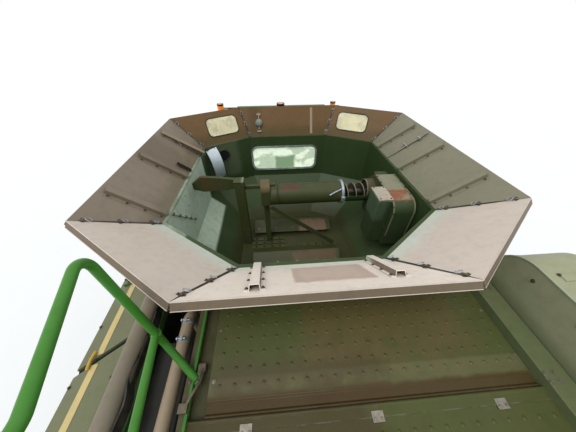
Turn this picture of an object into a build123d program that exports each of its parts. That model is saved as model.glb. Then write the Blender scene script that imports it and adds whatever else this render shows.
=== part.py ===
from build123d import *
import math
import os

# Combine harvester with a folding grain tank extension, in millimetres.
# X points to the machine's right, Y forwards and Z up. The origin is on the ground,
# below the middle of its length and width. Positions along Y are called stations.

# Overall limits: the feeder house lip and the back of the straw hood
FRONT_END_Y = 4000
REAR_END_Y = -4000

# Clearance of a shaft in its bore, clearance of a seated piece, and the common sheet thickness
SHAFT_GAP = 0.1
SEAT_GAP = 0.3
SHEET = 30

# Front wheels
FRONT_AXLE_Y = 1300
FRONT_TYRE_RADIUS = 925
FRONT_TYRE_WIDTH = 770
FRONT_WHEEL_X = 1445
FRONT_RIM_RADIUS = 410
FRONT_DISC_OFFSET = -270

# Rear wheels and steering
REAR_AXLE_Y = -2300
REAR_TYRE_RADIUS = 640
REAR_TYRE_WIDTH = 420
REAR_WHEEL_X = 1180
REAR_RIM_RADIUS = 310
REAR_DISC_OFFSET = -70
KINGPIN_X = 900
KINGPIN_RADIUS = 35
STEER_ARM = 220
REAR_BEAM_HEIGHT = 160
KNUCKLE_PLATE = 40

# Threshing and separating body
BODY_HALF_WIDTH = 840
BODY_FRONT_Y = 1500
BODY_REAR_Y = -3000
BODY_TOP_Z = 2250
BODY_FLOOR_Z = 1070
BODY_REAR_FLOOR_Z = 1400
BAY_FLOOR_Z = 2600
BAY_FRONT_Y = -850

# Grain tank and its eight extension panels: half width and station of each corner
TANK_RIM_Z = 3430
TANK_KNEE_Z = 2780
TANK_FLOOR_Z = 2300
TANK_FLOOR_SCALE = 0.62
TANK_FRONT = (570, 1550)
TANK_FRONT_CORNER_X = 1190
TANK_REAR = (550, -823)
RIM_Z = 3800
RIM_FRONT = (700, 1720)
RIM_FRONT_CORNER = (1540, 1300)
RIM_SIDE_REAR = (1607, -640)
RIM_REAR = (768, -1265)
PANEL_SHEET = 10
PANEL_LIP = 38

# Window in the front wall of the tank and the rear wall of the cab
WINDOW_X = (-556, 438)
WINDOW_Z = (2900, 3270)
WINDOW_CORNER = 90

# Engine deck and the bay below it
DECK_Z = 3300
DECK_LEFT_X = -770
DECK_RIGHT_X = 1190
DECK_HINGE_Y = -1620
BAY_REAR_Y = -2950
DECK_SHEET = 30
BEAM_RIGHT_X = 1320
BEAM_TOP_Z = 3360

# Cooling air housing with its rotary screen
HOUSING_OUTER_X = 1640
HOUSING_FRONT_Y = -950
HOUSING_REAR_Y = -2500
HOUSING_TOP_Z = 3680
HOUSING_CORNER = 200
SCREEN_RADIUS = 490
SCREEN_DEPTH = 90
SCREEN_Y = -1725
SCREEN_Z = 3130

# Side shields: a fixed sloping top panel over a swinging lower panel
SHELF_THICKNESS = 40
FLANK_X = 1250
FLANK_TOP_Z = 3150
ROLL_X = 1200
ROLL_Z = 3200
ROLL_RADIUS = 57
TOP_SHIELD_INNER = (1290, 3150)
TOP_SHIELD_OUTER = (1640, 3000)
TOP_SHIELD_SHEET = 25
SHIELD_GAP_Y = -1200
SHIELD_GAP = 40
SHIELD_FRONT_Y = 300
SHIELD_SHEET = 40
SHIELD_TOP_Z = 2500
SHIELD_HINGE_RADIUS = 12

# Unloading auger, folded back along the left flank under the top shields
AUGER_X = -1450
AUGER_Y = 950
AUGER_Z = 2720
AUGER_RADIUS = 150
AUGER_END_Y = -3350
SPOUT_DROP = 260
SPOUT_LENGTH = 300
TURRET_BASE_Z = 2160

# Cab
CAB_HALF_WIDTH = 880
CAB_REAR_Y = 1640
CAB_FLOOR_Z = 1900
CAB_EAVES_Z = 3330
CAB_TOE_Y = 3150
CAB_NOSE = (3380, 2350)
CAB_BROW_Y = 3300
CAB_WALL = 50
ROOF_REAR_Z = 3440
ROOF_FRONT_Z = 3370
ROOF_FRONT_Y = 3390
GLASS = 8
DOOR_Y = (2000, 2760)
DOOR_Z = (1965, 3270)
DOOR_FRAME = 55

# Operator platform and swinging front ladder
PLATFORM_OUTER_X = -1780
PLATFORM_Y = (1720, 2980)
PLATFORM_THICKNESS = 40
RAIL_RADIUS = 19
RAIL_HEIGHT = 1000
LADDER_X = -1700
LADDER_Y = 2880
LADDER_WIDTH = 520
LADDER_FOOT_Z = 420

# Feeder house
FEEDER_HALF_WIDTH = 650
FEEDER_PIVOT = (1750, 1720)
FEEDER_SHEET = 40
FEEDER_FRONT_TOP = (FRONT_END_Y - 150, 1290)
FEEDER_FRONT_FOOT_Z = 600
FEEDER_TOE = 120
FEEDER_LIP_DROP = 60
CHANNEL_REAR_Y = FRONT_END_Y - 1000
PIVOT_RADIUS = 40

# Ears for the header's locking pins, and the towing clevis on the rear axle's hanger
HEADER_PIN = (FRONT_END_Y - 100, 680)
HEADER_EAR = 50
HEADER_PIN_RADIUS = 20
HITCH_Z = (945, 1055)
HITCH_PLATE = 20
HITCH_REACH = 200
HITCH_RADIUS = 16

# Lift cylinders of the feeder house
LIFT_X = 480
LIFT_BASE = (1560, 830)
LIFT_EYE = (FRONT_END_Y - 1050, 830)
BARREL_RADIUS = 50
ROD_RADIUS = 30
LIFT_PIN_RADIUS = 22
LIFT_EYE_GAP = 16


def block(x, y, z):
    """A box from its low and high X, Y and Z."""
    size = [high - low for low, high in (x, y, z)]
    centre = [(high + low) / 2 for low, high in (x, y, z)]
    return Pos(*centre) * Box(*size)


def slab(points, x):
    """A side view given as (station, height) points, extruded between two X values."""
    face = Plane.YZ.offset(x[0]) * make_face(Polyline(*points, close=True))
    return extrude(face, amount=x[1] - x[0], dir=(1, 0, 0))


def rod(start, end, radius):
    """A round bar from one point to another."""
    start, end = Vector(*start), Vector(*end)
    plane = Plane(origin=(start + end) / 2, z_dir=(end - start).normalized())
    return plane.location * Cylinder(radius, (end - start).length)


def pipe(points, bend, radius):
    """A bent tube of outer radius radius along points, with one bend radius."""
    path = FilletPolyline(*points, radius=bend)
    start = Plane(origin=path @ 0, z_dir=path % 0)
    return sweep(start * Circle(radius), path=path)


def both_sides(shape):
    """The shape and its mirror image on the machine's other side."""
    return shape + mirror(shape, about=Plane.YZ)


def wheel_at(shape, side, x, y, z):
    """A wheel piece made for the right side, put at its place on side 1 or -1."""
    placed = Pos(x, y, z) * shape
    return placed if side > 0 else mirror(placed, about=Plane.YZ)


def turned(points):
    """A ring about the X axis from (x, radius) points."""
    return revolve(make_face(Polyline(*points, close=True)), axis=Axis.X)


# Wheels: the rim's width as a share of the tyre's, and the height of its flanges
RIM_SHARE = 0.80
FLANGE_HEIGHT = 26


def tyre(radius, width, rim_radius):
    """A tractor tyre about the X axis, out to the tips of its lugs."""
    half, bore = width / 2, rim_radius + SEAT_GAP
    bead = RIM_SHARE * half - SEAT_GAP
    right = [(bead, bore), (bead, bore + FLANGE_HEIGHT + 4), (0.96 * half, bore + 0.32 * (radius - bore)),
             (half, bore + 0.55 * (radius - bore)), (0.96 * half, radius - 45), (0.86 * half, radius)]
    return turned(right + [(-x, r) for x, r in reversed(right)])


def rim(rim_radius, width, disc_x, hub_radius, bore, hub_out):
    """A welded rim with its disc and hub. disc_x is the disc's inner face from the wheel's middle."""
    half, wall, disc = RIM_SHARE * width / 2, 16, 22
    barrel = turned([(-half, rim_radius - wall), (-half, rim_radius), (half, rim_radius),
                     (half, rim_radius - wall)])
    for side in (-1, 1):
        x = side * (half + wall / 2)
        barrel += Pos(x, 0, 0) * Rot(0, 90, 0) * (
            Cylinder(rim_radius + FLANGE_HEIGHT, wall) - Cylinder(rim_radius - wall, wall))
    plate = turned([(disc_x, bore), (disc_x, rim_radius - wall), (disc_x + disc, rim_radius - wall),
                    (disc_x + disc, bore)])
    hub = turned([(disc_x + disc, bore), (disc_x + disc, hub_radius), (disc_x + hub_out, hub_radius),
                  (disc_x + hub_out, bore)])
    return barrel + plate + hub


def front_rim(side):
    """Front rim with the drive shaft that turns in the final drive."""
    shape = rim(FRONT_RIM_RADIUS, FRONT_TYRE_WIDTH, FRONT_DISC_OFFSET, HUB_RADIUS, SHAFT_RADIUS / 2, 90)
    shaft_start = FINAL_DRIVE_OUTER_X - SHAFT_ENGAGED - FRONT_WHEEL_X
    shape += rod((shaft_start, 0, 0), (FRONT_DISC_OFFSET + 90, 0, 0), SHAFT_RADIUS)
    return wheel_at(shape, side, FRONT_WHEEL_X, FRONT_AXLE_Y, FRONT_TYRE_RADIUS)


def rear_rim(side):
    """Rear rim, bored for the knuckle's stub axle, with a closed cap outside."""
    shape = rim(REAR_RIM_RADIUS, REAR_TYRE_WIDTH, REAR_DISC_OFFSET, 95, STUB_RADIUS + SHAFT_GAP, HUB_LENGTH)
    cap_x = REAR_DISC_OFFSET + HUB_LENGTH
    shape += rod((cap_x, 0, 0), (cap_x + 20, 0, 0), 95)
    return wheel_at(shape, side, REAR_WHEEL_X, REAR_AXLE_Y, REAR_TYRE_RADIUS)


HUB_RADIUS = 150
SHAFT_RADIUS = 70
SHAFT_ENGAGED = 60
FINAL_DRIVE_OUTER_X = FRONT_WHEEL_X + FRONT_DISC_OFFSET - 25
FINAL_DRIVE_RADIUS = 260
AXLE_BEAM_HALF = 130
STUB_RADIUS = 42
HUB_LENGTH = 110


def chassis_frame():
    """Front axle beam with final drives, the side rails and the rear axle's hanger."""
    axle_z = FRONT_TYRE_RADIUS
    beam = block((-940, 940), (FRONT_AXLE_Y - AXLE_BEAM_HALF, FRONT_AXLE_Y + AXLE_BEAM_HALF),
                 (axle_z - AXLE_BEAM_HALF, axle_z + AXLE_BEAM_HALF))
    drive = rod((900, FRONT_AXLE_Y, axle_z), (FINAL_DRIVE_OUTER_X, FRONT_AXLE_Y, axle_z),
                FINAL_DRIVE_RADIUS)
    drive -= rod((FINAL_DRIVE_OUTER_X - SHAFT_ENGAGED - 5, FRONT_AXLE_Y, axle_z),
                 (FINAL_DRIVE_OUTER_X, FRONT_AXLE_Y, axle_z), SHAFT_RADIUS + SHAFT_GAP)
    rail = block((BODY_HALF_WIDTH, RAIL_OUTER_X), (RAIL_REAR_Y, BODY_FRONT_Y),
                 (axle_z + AXLE_BEAM_HALF, RAIL_TOP_Z))
    lug = slab([(LIFT_BASE[0] + 60, LIFT_BASE[1] - 55), (LIFT_BASE[0] + 60, LIFT_BASE[1] + 60),
                (FRONT_AXLE_Y + AXLE_BEAM_HALF, axle_z + 60),
                (FRONT_AXLE_Y + AXLE_BEAM_HALF, axle_z - 110)], (LIFT_X + 42, LIFT_X + 67))
    lug += Pos(-109, 0, 0) * lug
    lug += rod((LIFT_X - 67, *LIFT_BASE), (LIFT_X + 67, *LIFT_BASE), LIFT_PIN_RADIUS)
    cross = block((-RAIL_OUTER_X, RAIL_OUTER_X), (RAIL_REAR_Y, RAIL_REAR_Y + 120),
                  (BODY_FLOOR_Z - 90, BODY_FLOOR_Z - 5))
    return beam + both_sides(drive + rail + lug) + cross


RAIL_OUTER_X = BODY_HALF_WIDTH + 100
RAIL_TOP_Z = 1230
RAIL_REAR_Y = -1380
HANGER_TOP_Z = BODY_REAR_FLOOR_Z
HANGER_HALF = 110


def rear_axle():
    """Rear axle beam with its hanger below the body and a bored boss for each kingpin."""
    z = REAR_TYRE_RADIUS
    low, high = z - REAR_BEAM_HEIGHT / 2, z + REAR_BEAM_HEIGHT / 2
    beam = block((-KINGPIN_X + 30, KINGPIN_X - 30), (REAR_AXLE_Y - 75, REAR_AXLE_Y + 75), (low, high))
    boss = Pos(KINGPIN_X, REAR_AXLE_Y, z) * Cylinder(75, REAR_BEAM_HEIGHT)
    bore = Pos(KINGPIN_X, REAR_AXLE_Y, z) * Cylinder(KINGPIN_RADIUS + SHAFT_GAP, REAR_BEAM_HEIGHT + 2)
    front = make_face(Polyline((-130, high), (-260, HANGER_TOP_Z), (260, HANGER_TOP_Z), (130, high),
                               close=True))
    hanger = extrude(Plane.XZ.offset(-REAR_AXLE_Y - HANGER_HALF) * front, amount=2 * HANGER_HALF)
    rear = REAR_AXLE_Y - HANGER_HALF
    for low in (HITCH_Z[0], HITCH_Z[1] - HITCH_PLATE):
        hanger += block((-60, 60), (rear - HITCH_REACH - 40, rear), (low, low + HITCH_PLATE))
    hanger -= rod((0, rear - HITCH_REACH, HITCH_Z[0] - 1), (0, rear - HITCH_REACH, HITCH_Z[1] + 1), HITCH_RADIUS)
    return (beam + both_sides(boss)) - both_sides(bore) + hanger


def rear_knuckle(side):
    """Steering knuckle: fork round the beam's boss, kingpin, stub axle and steering arm."""
    z = REAR_TYRE_RADIUS
    high = z + REAR_BEAM_HEIGHT / 2 + SEAT_GAP * 4
    low = z - REAR_BEAM_HEIGHT / 2 - SEAT_GAP * 4
    x, y = KINGPIN_X, REAR_AXLE_Y
    web_x = x + 75 + 12
    fork = rod((x, y, low - KNUCKLE_PLATE), (x, y, high + KNUCKLE_PLATE), KINGPIN_RADIUS)
    for z0 in (low - KNUCKLE_PLATE, high):
        fork += Pos(x, y, z0 + KNUCKLE_PLATE / 2) * Cylinder(70, KNUCKLE_PLATE)
        fork += block((x, web_x + 30), (y - 70, y + 70), (z0, z0 + KNUCKLE_PLATE))
    fork += block((web_x, web_x + 30), (y - 70, y + 70), (low - KNUCKLE_PLATE, high + KNUCKLE_PLATE))
    stub_end = REAR_WHEEL_X + REAR_DISC_OFFSET + HUB_LENGTH - 2
    fork += rod((web_x + 20, y, z), (stub_end, y, z), STUB_RADIUS)
    arm_z = low - KNUCKLE_PLATE
    fork += block((x - 32, x + 32), (y - STEER_ARM, y), (arm_z, low))
    fork += Pos(x, y - STEER_ARM, (arm_z + low) / 2) * Cylinder(32, KNUCKLE_PLATE)
    fork += rod((x, y - STEER_ARM, arm_z - TIE_EYE - 6), (x, y - STEER_ARM, low), TIE_PIN_RADIUS)
    return fork if side > 0 else mirror(fork, about=Plane.YZ)


TIE_EYE = 36
TIE_PIN_RADIUS = 15


def tie_rod():
    """Track rod between the two steering arms, with an eye round each arm's pin."""
    top = REAR_TYRE_RADIUS - REAR_BEAM_HEIGHT / 2 - SEAT_GAP * 4 - KNUCKLE_PLATE - 1
    z, y = top - TIE_EYE / 2, REAR_AXLE_Y - STEER_ARM
    eye = Pos(KINGPIN_X, y, z) * Cylinder(32, TIE_EYE)
    shape = rod((-KINGPIN_X, y, z), (KINGPIN_X, y, z), 16) + both_sides(eye)
    hole = Pos(KINGPIN_X, y, z) * Cylinder(TIE_PIN_RADIUS + SHAFT_GAP, TIE_EYE + 2)
    return shape - both_sides(hole)


# Body

def separator_body():
    """Closed body with the threshing and cleaning parts. Its top carries the tank and engine."""
    profile = [
        (BODY_FRONT_Y, BODY_FLOOR_Z + 90), (BODY_FRONT_Y, BODY_TOP_Z), (BAY_FRONT_Y, BODY_TOP_Z),
        (BAY_FRONT_Y, BAY_FLOOR_Z), (BODY_REAR_Y, BAY_FLOOR_Z), (BODY_REAR_Y, BODY_REAR_FLOOR_Z),
        (RAIL_REAR_Y - 160, BODY_REAR_FLOOR_Z), (RAIL_REAR_Y, BODY_FLOOR_Z),
        (BODY_FRONT_Y - 200, BODY_FLOOR_Z),
    ]
    body = slab(profile, (-BODY_HALF_WIDTH, BODY_HALF_WIDTH))
    ear = slab([(BODY_FRONT_Y, FEEDER_PIVOT[1] - 150), (BODY_FRONT_Y, FEEDER_PIVOT[1] + 110),
                (FEEDER_PIVOT[0] + 70, FEEDER_PIVOT[1] + 70), (FEEDER_PIVOT[0] + 70, FEEDER_PIVOT[1] - 70)],
               (FEEDER_HALF_WIDTH + 12, FEEDER_HALF_WIDTH + 62))
    ear -= rod((FEEDER_HALF_WIDTH, *FEEDER_PIVOT), (FEEDER_HALF_WIDTH + 80, *FEEDER_PIVOT),
               PIVOT_RADIUS + SHAFT_GAP)
    return body + both_sides(ear)


HOOD_TOP_REAR_Y = -3650
HOOD_LIP = (REAR_END_Y, 2050)
HOOD_FOOT_Z = 1450
ROTOR = (-3480, 1760)
ROTOR_SHAFT = 45


def straw_hood():
    """Hollow rear hood, open below, whose side sheets carry the chopper's shaft."""
    outer = [(BODY_REAR_Y, HOOD_FOOT_Z), (BODY_REAR_Y, BAY_FLOOR_Z), (HOOD_TOP_REAR_Y, BAY_FLOOR_Z),
             HOOD_LIP, (REAR_END_Y, HOOD_FOOT_Z)]
    inner = [(BODY_REAR_Y - SHEET, HOOD_FOOT_Z - 1), (BODY_REAR_Y - SHEET, BAY_FLOOR_Z - SHEET),
             (HOOD_TOP_REAR_Y + 0.5 * SHEET, BAY_FLOOR_Z - SHEET), (HOOD_LIP[0] + SHEET, HOOD_LIP[1] - 0.3 * SHEET),
             (REAR_END_Y + SHEET, HOOD_FOOT_Z - 1)]
    hood = slab(outer, (-BODY_HALF_WIDTH, BODY_HALF_WIDTH))
    hood -= slab(inner, (SHEET - BODY_HALF_WIDTH, BODY_HALF_WIDTH - SHEET))
    hood -= rod((-BODY_HALF_WIDTH - 1, *ROTOR), (BODY_HALF_WIDTH + 1, *ROTOR), ROTOR_SHAFT + SHAFT_GAP)
    return hood


def chopper_rotor():
    """Straw chopper drum with rows of flails."""
    reach, drum, half = 240, 95, BODY_HALF_WIDTH - SHEET - 25
    rotor = rod((-BODY_HALF_WIDTH, *ROTOR), (BODY_HALF_WIDTH, *ROTOR), ROTOR_SHAFT)
    rotor += rod((-half, *ROTOR), (half, *ROTOR), drum)
    for row in range(4):
        for column in range(7):
            x = -half + 60 + (column + 0.25 * row) * (2 * half - 160) / 6.75
            blade = block((x, x + 12), (-25, 25), (drum - 10, reach))
            rotor += Pos(0, *ROTOR) * Rot(90 * row, 0, 0) * blade
    return rotor


# Grain tank

def crossing(a, towards_a, b, towards_b):
    """Where the line from a along towards_a meets the line from b along towards_b, in plan."""
    det = towards_a[0] * -towards_b[1] + towards_b[0] * towards_a[1]
    dx, dy = b[0] - a[0], b[1] - a[1]
    t = (dx * -towards_b[1] + towards_b[0] * dy) / det
    return (a[0] + t * towards_a[0], a[1] + t * towards_a[1])


def along(a, b):
    return (b[0] - a[0], b[1] - a[1])


def tank_corners():
    """The four right-hand corners of the tank's octagon, so that each panel above is flat."""
    slope = (RIM_FRONT_CORNER[1] - RIM_FRONT[1]) / (RIM_FRONT_CORNER[0] - RIM_FRONT[0])
    front_corner = (TANK_FRONT_CORNER_X,
                    TANK_FRONT[1] + slope * (TANK_FRONT_CORNER_X - TANK_FRONT[0]))
    side_rear = crossing(front_corner, along(RIM_FRONT_CORNER, RIM_SIDE_REAR),
                         TANK_REAR, along(RIM_REAR, RIM_SIDE_REAR))
    return [TANK_FRONT, front_corner, side_rear, TANK_REAR]


def octagon(corners, inset=0):
    """A full octagon face from its right-hand corners, moved in by inset."""
    ring = corners + [(-x, y) for x, y in reversed(corners)]
    face = make_face(Polyline(*ring, close=True))
    return offset(face, amount=-inset, kind=Kind.INTERSECTION) if inset else face


def hopper(inset, base_z):
    """The tank's lower part: its octagon drawn in to a smaller one at base_z."""
    corners = tank_corners()
    middle = (TANK_FRONT[1] + TANK_REAR[1]) / 2
    small = [(x * TANK_FLOOR_SCALE, middle + (y - middle) * TANK_FLOOR_SCALE) for x, y in corners]
    return loft([Pos(0, 0, base_z) * octagon(small, inset), Pos(0, 0, TANK_KNEE_Z) * octagon(corners, inset)],
                ruled=True)


def window_plate(x, y, z, corner):
    """A plate with rounded corners across the machine, between two stations."""
    face = RectangleRounded(x[1] - x[0], z[1] - z[0], corner)
    plane = Plane(origin=((x[0] + x[1]) / 2, y[1], (z[0] + z[1]) / 2), x_dir=(1, 0, 0), z_dir=(0, -1, 0))
    return extrude(plane * face, amount=y[1] - y[0])


def grain_tank():
    """Hollow tank with upright walls and a drawn-in floor, glazed towards the cab."""
    corners = tank_corners()
    walls = extrude(Pos(0, 0, TANK_KNEE_Z) * octagon(corners), amount=TANK_RIM_Z - TANK_KNEE_Z)
    hollow = extrude(Pos(0, 0, TANK_KNEE_Z) * octagon(corners, SHEET), amount=TANK_RIM_Z - TANK_KNEE_Z + 1)
    tank = walls + hopper(0, TANK_FLOOR_Z) - hollow - hopper(SHEET, TANK_FLOOR_Z + SHEET)
    tank -= window_plate(WINDOW_X, (TANK_FRONT[1] - SHEET - 1, TANK_FRONT[1] + 1), WINDOW_Z, WINDOW_CORNER)
    foot = block((300, 400), (BAY_FRONT_Y + 450, BODY_FRONT_Y - 300), (BODY_TOP_Z, TANK_FLOOR_Z))
    return tank + both_sides(foot)


def panel_frame(base_a, base_b, rim_a, rim_b):
    """Plane of a panel: X along its base, Y up its slope, Z out of the tank. Returns it and its size."""
    a, b = Vector(*base_a, TANK_RIM_Z), Vector(*base_b, TANK_RIM_Z)
    c, d = Vector(*rim_a, RIM_Z), Vector(*rim_b, RIM_Z)
    run = (b - a).normalized()
    rise = (c - a) - run * (c - a).dot(run)
    plane = Plane(origin=a, x_dir=run, z_dir=run.cross(rise.normalized()))
    outline = [(0, 0), ((b - a).length, 0), ((d - a).dot(run), rise.length), ((c - a).dot(run), rise.length)]
    return plane, outline


def extension_panel(base_a, base_b, rim_a, rim_b, ribs=0, straps=()):
    """A flat sheet panel from tank rim to extension rim, lipped at its rim and stiffened by ribs."""
    plane, outline = panel_frame(base_a, base_b, rim_a, rim_b)
    sheet = extrude(make_face(Polyline(*outline, close=True)), amount=PANEL_SHEET)
    left, right, height = outline[3][0], outline[2][0], outline[3][1]
    lip = block((left + 3, right - 3), (height - PANEL_SHEET, height), (PANEL_SHEET, PANEL_LIP))
    shape = sheet + lip
    for index in range(ribs):
        share = (index + 0.5) / ribs
        rib = block((-35, 35), (40, height - 60), (-14, 0)) - block((-24, 24), (39, height - 59), (-14, -6))
        shape += Pos(share * outline[1][0], 0, 0) * rib
    for x in straps:
        shape += Pos(x, 0, 0) * block((-22, 22), (10, height - 20), (-5, 0))
    return plane.location * shape


def extension_front():
    base, rim_corner = TANK_FRONT, RIM_FRONT
    return extension_panel((base[0], base[1]), (-base[0], base[1]),
                           (rim_corner[0], rim_corner[1]), (-rim_corner[0], rim_corner[1]))


def front_corner_window(thickness, clearance):
    """The rounded window of a front corner panel, in the panel's own frame."""
    corners = tank_corners()
    plane, outline = panel_frame(corners[1], corners[0], RIM_FRONT_CORNER, RIM_FRONT)
    height = outline[3][1]
    face = Pos(0.5 * outline[1][0], 0.52 * height) * RectangleRounded(
        0.62 * outline[1][0] - 2 * clearance, 0.56 * height - 2 * clearance, 60)
    return plane, extrude(face, amount=thickness)


def extension_front_corners():
    corners = tank_corners()
    shape = extension_panel(corners[1], corners[0], RIM_FRONT_CORNER, RIM_FRONT)
    plane, window = front_corner_window(PANEL_SHEET + 2, 0)
    return both_sides(shape - plane.location * Pos(0, 0, -1) * window)


def extension_windows():
    plane, pane = front_corner_window(PANEL_SHEET, SEAT_GAP)
    return both_sides(plane.location * pane)


def extension_sides():
    corners = tank_corners()
    return both_sides(extension_panel(corners[2], corners[1], RIM_SIDE_REAR, RIM_FRONT_CORNER, ribs=3))


def extension_rear_corners():
    corners = tank_corners()
    return both_sides(extension_panel(corners[3], corners[2], RIM_REAR, RIM_SIDE_REAR))


def extension_rear():
    return extension_panel((-TANK_REAR[0], TANK_REAR[1]), TANK_REAR,
                           (-RIM_REAR[0], RIM_REAR[1]), RIM_REAR, straps=(250, 850))


def tank_window():
    return window_plate((WINDOW_X[0] + SEAT_GAP, WINDOW_X[1] - SEAT_GAP),
                        (TANK_FRONT[1] - SHEET + 8, TANK_FRONT[1] - 8),
                        (WINDOW_Z[0] + SEAT_GAP, WINDOW_Z[1] - SEAT_GAP), WINDOW_CORNER)


CROSS_AUGER_YS = (100, 720)
COVER_HALF_X = 560
COVER_WIDTH = 330
COVER_RISE = 160


def auger_covers():
    """Roof-shaped covers over the two cross augers in the tank floor, on end feet."""
    shape = None
    for y in CROSS_AUGER_YS:
        base = TANK_FLOOR_Z + SHEET
        roof = slab([(y - COVER_WIDTH / 2, base + 60), (y, base + COVER_RISE), (y + COVER_WIDTH / 2, base + 60),
                     (y + COVER_WIDTH / 2, base + 48), (y, base + COVER_RISE - 12),
                     (y - COVER_WIDTH / 2, base + 48)], (-COVER_HALF_X, COVER_HALF_X))
        for x in (-COVER_HALF_X, COVER_HALF_X - 20):
            roof += slab([(y - 60, base), (y - 60, base + 100), (y, base + COVER_RISE - 6),
                          (y + 60, base + 100), (y + 60, base)], (x, x + 20))
        shape = roof if shape is None else shape + roof
    return shape


CROSS_TUBE = (-455, 790, 470, 3130, 140)


def tank_cross_tube():
    """Large tube across the tank between a post on the floor and the elevator head."""
    x0, x1, y, z, radius = CROSS_TUBE
    tube = rod((x0, y, z), (x1, y, z), radius)
    post = block((x0 - 40, x0), (y - 60, y + 60), (TANK_FLOOR_Z + SHEET, z + radius + 20))
    strap = block((x0 + 110, x0 + 150), (y - 20, y + 20), (TANK_FLOOR_Z + SHEET, z - radius + 20))
    return tube + post + strap


HEAD_Y = (20, 560)
HEAD_Z = (2800, 3380)
TROUGH = ((950, -90, 3060), (672, 247, 3240), 95)


def tank_wall_x(y):
    """X of the inner face of the tank's right wall at a station."""
    front, rear = tank_corners()[1:3]
    slope = (front[0] - rear[0]) / (front[1] - rear[1])
    return front[0] + slope * (y - front[1]) - SHEET * math.hypot(1, slope)


def loading_auger():
    """Grain elevator head in the tank with the open loading auger trough beside it."""
    (rear, front), (foot, top) = HEAD_Y, HEAD_Z
    head = slab([(rear, foot), (rear, top - 120), (rear + 120, top), (front - 120, top), (front, top - 120),
                 (front, foot)], (CROSS_TUBE[1], tank_wall_x(front)))
    low, high, radius = TROUGH
    axis = Vector(*high) - Vector(*low)
    plane = Plane(origin=low, x_dir=axis.cross(Vector(0, 0, 1)), z_dir=axis.normalized())
    above = plane.location * Pos(0, -radius, axis.length / 2) * Box(2 * radius, 2 * radius, axis.length + 2)
    trough = rod(low, high, radius) - rod(low, high, radius - 8) - above
    return head + trough + rod(low, high, 22)


# Engine deck

def engine_deck():
    """Deck sheet over the engine bay with the bay's side and rear walls and the right-hand beam."""
    deck = block((DECK_LEFT_X, DECK_RIGHT_X), (DECK_HINGE_Y, BAY_FRONT_Y), (DECK_Z - DECK_SHEET, DECK_Z))
    left = block((DECK_LEFT_X, DECK_LEFT_X + SHEET), (DECK_HINGE_Y, BAY_FRONT_Y), (BAY_FLOOR_Z, DECK_Z - DECK_SHEET))
    right = block((DECK_RIGHT_X, BEAM_RIGHT_X), (BAY_REAR_Y, BAY_FRONT_Y), (DECK_Z - 100, BEAM_TOP_Z))
    right += block((DECK_RIGHT_X, DECK_RIGHT_X + SHEET), (BAY_REAR_Y, BAY_FRONT_Y), (BAY_FLOOR_Z, DECK_Z))
    rear = block((DECK_LEFT_X, DECK_RIGHT_X + SHEET), (BAY_REAR_Y, BAY_REAR_Y + SHEET),
                 (BAY_FLOOR_Z, DECK_Z - DECK_SHEET - SEAT_GAP))
    ledge = block((DECK_LEFT_X, DECK_LEFT_X + SHEET), (BAY_REAR_Y, DECK_HINGE_Y), (BAY_FLOOR_Z, DECK_Z - DECK_SHEET - SEAT_GAP))
    return deck + left + ledge + right + rear


HINGE_RADIUS = 9
COVER_GAP = 6


def rear_cover():
    """Hinged cover behind the deck, a lidded sheet with a turned-down rear edge."""
    shape = block((DECK_LEFT_X, DECK_RIGHT_X - COVER_GAP), (BAY_REAR_Y - 40, DECK_HINGE_Y - 24),
                  (DECK_Z - DECK_SHEET, DECK_Z))
    shape += block((DECK_LEFT_X, DECK_RIGHT_X - COVER_GAP), (BAY_REAR_Y - 40, BAY_REAR_Y - 15),
                   (DECK_Z - 140, DECK_Z))
    knuckle = rod((DECK_LEFT_X + 20, DECK_HINGE_Y - 12, DECK_Z), (DECK_RIGHT_X - 20, DECK_HINGE_Y - 12, DECK_Z),
                  HINGE_RADIUS)
    leaf = block((DECK_LEFT_X + 20, DECK_RIGHT_X - 20), (DECK_HINGE_Y - 60, DECK_HINGE_Y - 12), (DECK_Z, DECK_Z + 5))
    return shape + knuckle + leaf


ENGINE = ((-450, 650), (-2600, -1250), (BAY_FLOOR_Z, 3180))


def engine_block():
    """The engine as one plain block on the bay floor."""
    return block(*ENGINE)


def cooling_housing():
    """Radiator housing at the right of the deck, its outer face recessed for the rotary screen."""
    housing = block((BEAM_RIGHT_X, HOUSING_OUTER_X), (HOUSING_REAR_Y, HOUSING_FRONT_Y), (BAY_FLOOR_Z, HOUSING_TOP_Z))
    corner = housing.edges().filter_by(Axis.X).group_by(Axis.Z)[-1].sort_by(Axis.Y)[-1]
    housing = fillet(corner, HOUSING_CORNER)
    housing -= rod((HOUSING_OUTER_X - 50, SCREEN_Y, SCREEN_Z), (HOUSING_OUTER_X + 1, SCREEN_Y, SCREEN_Z),
                   SCREEN_RADIUS + 15)
    housing -= rod((HOUSING_OUTER_X - 120, SCREEN_Y, SCREEN_Z), (HOUSING_OUTER_X, SCREEN_Y, SCREEN_Z),
                   SCREEN_SHAFT + SHAFT_GAP)
    return housing


SCREEN_SHAFT = 25


def rotary_screen():
    """Drum-shaped screen that turns in front of the radiator."""
    face = HOUSING_OUTER_X - 30
    screen = rod((face, SCREEN_Y, SCREEN_Z), (face + SCREEN_DEPTH, SCREEN_Y, SCREEN_Z), SCREEN_RADIUS)
    screen -= rod((face - 1, SCREEN_Y, SCREEN_Z), (face + SCREEN_DEPTH - 12, SCREEN_Y, SCREEN_Z), SCREEN_RADIUS - 12)
    screen += rod((HOUSING_OUTER_X - 110, SCREEN_Y, SCREEN_Z), (face + SCREEN_DEPTH, SCREEN_Y, SCREEN_Z), SCREEN_SHAFT)
    return screen


# Flanks

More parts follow.
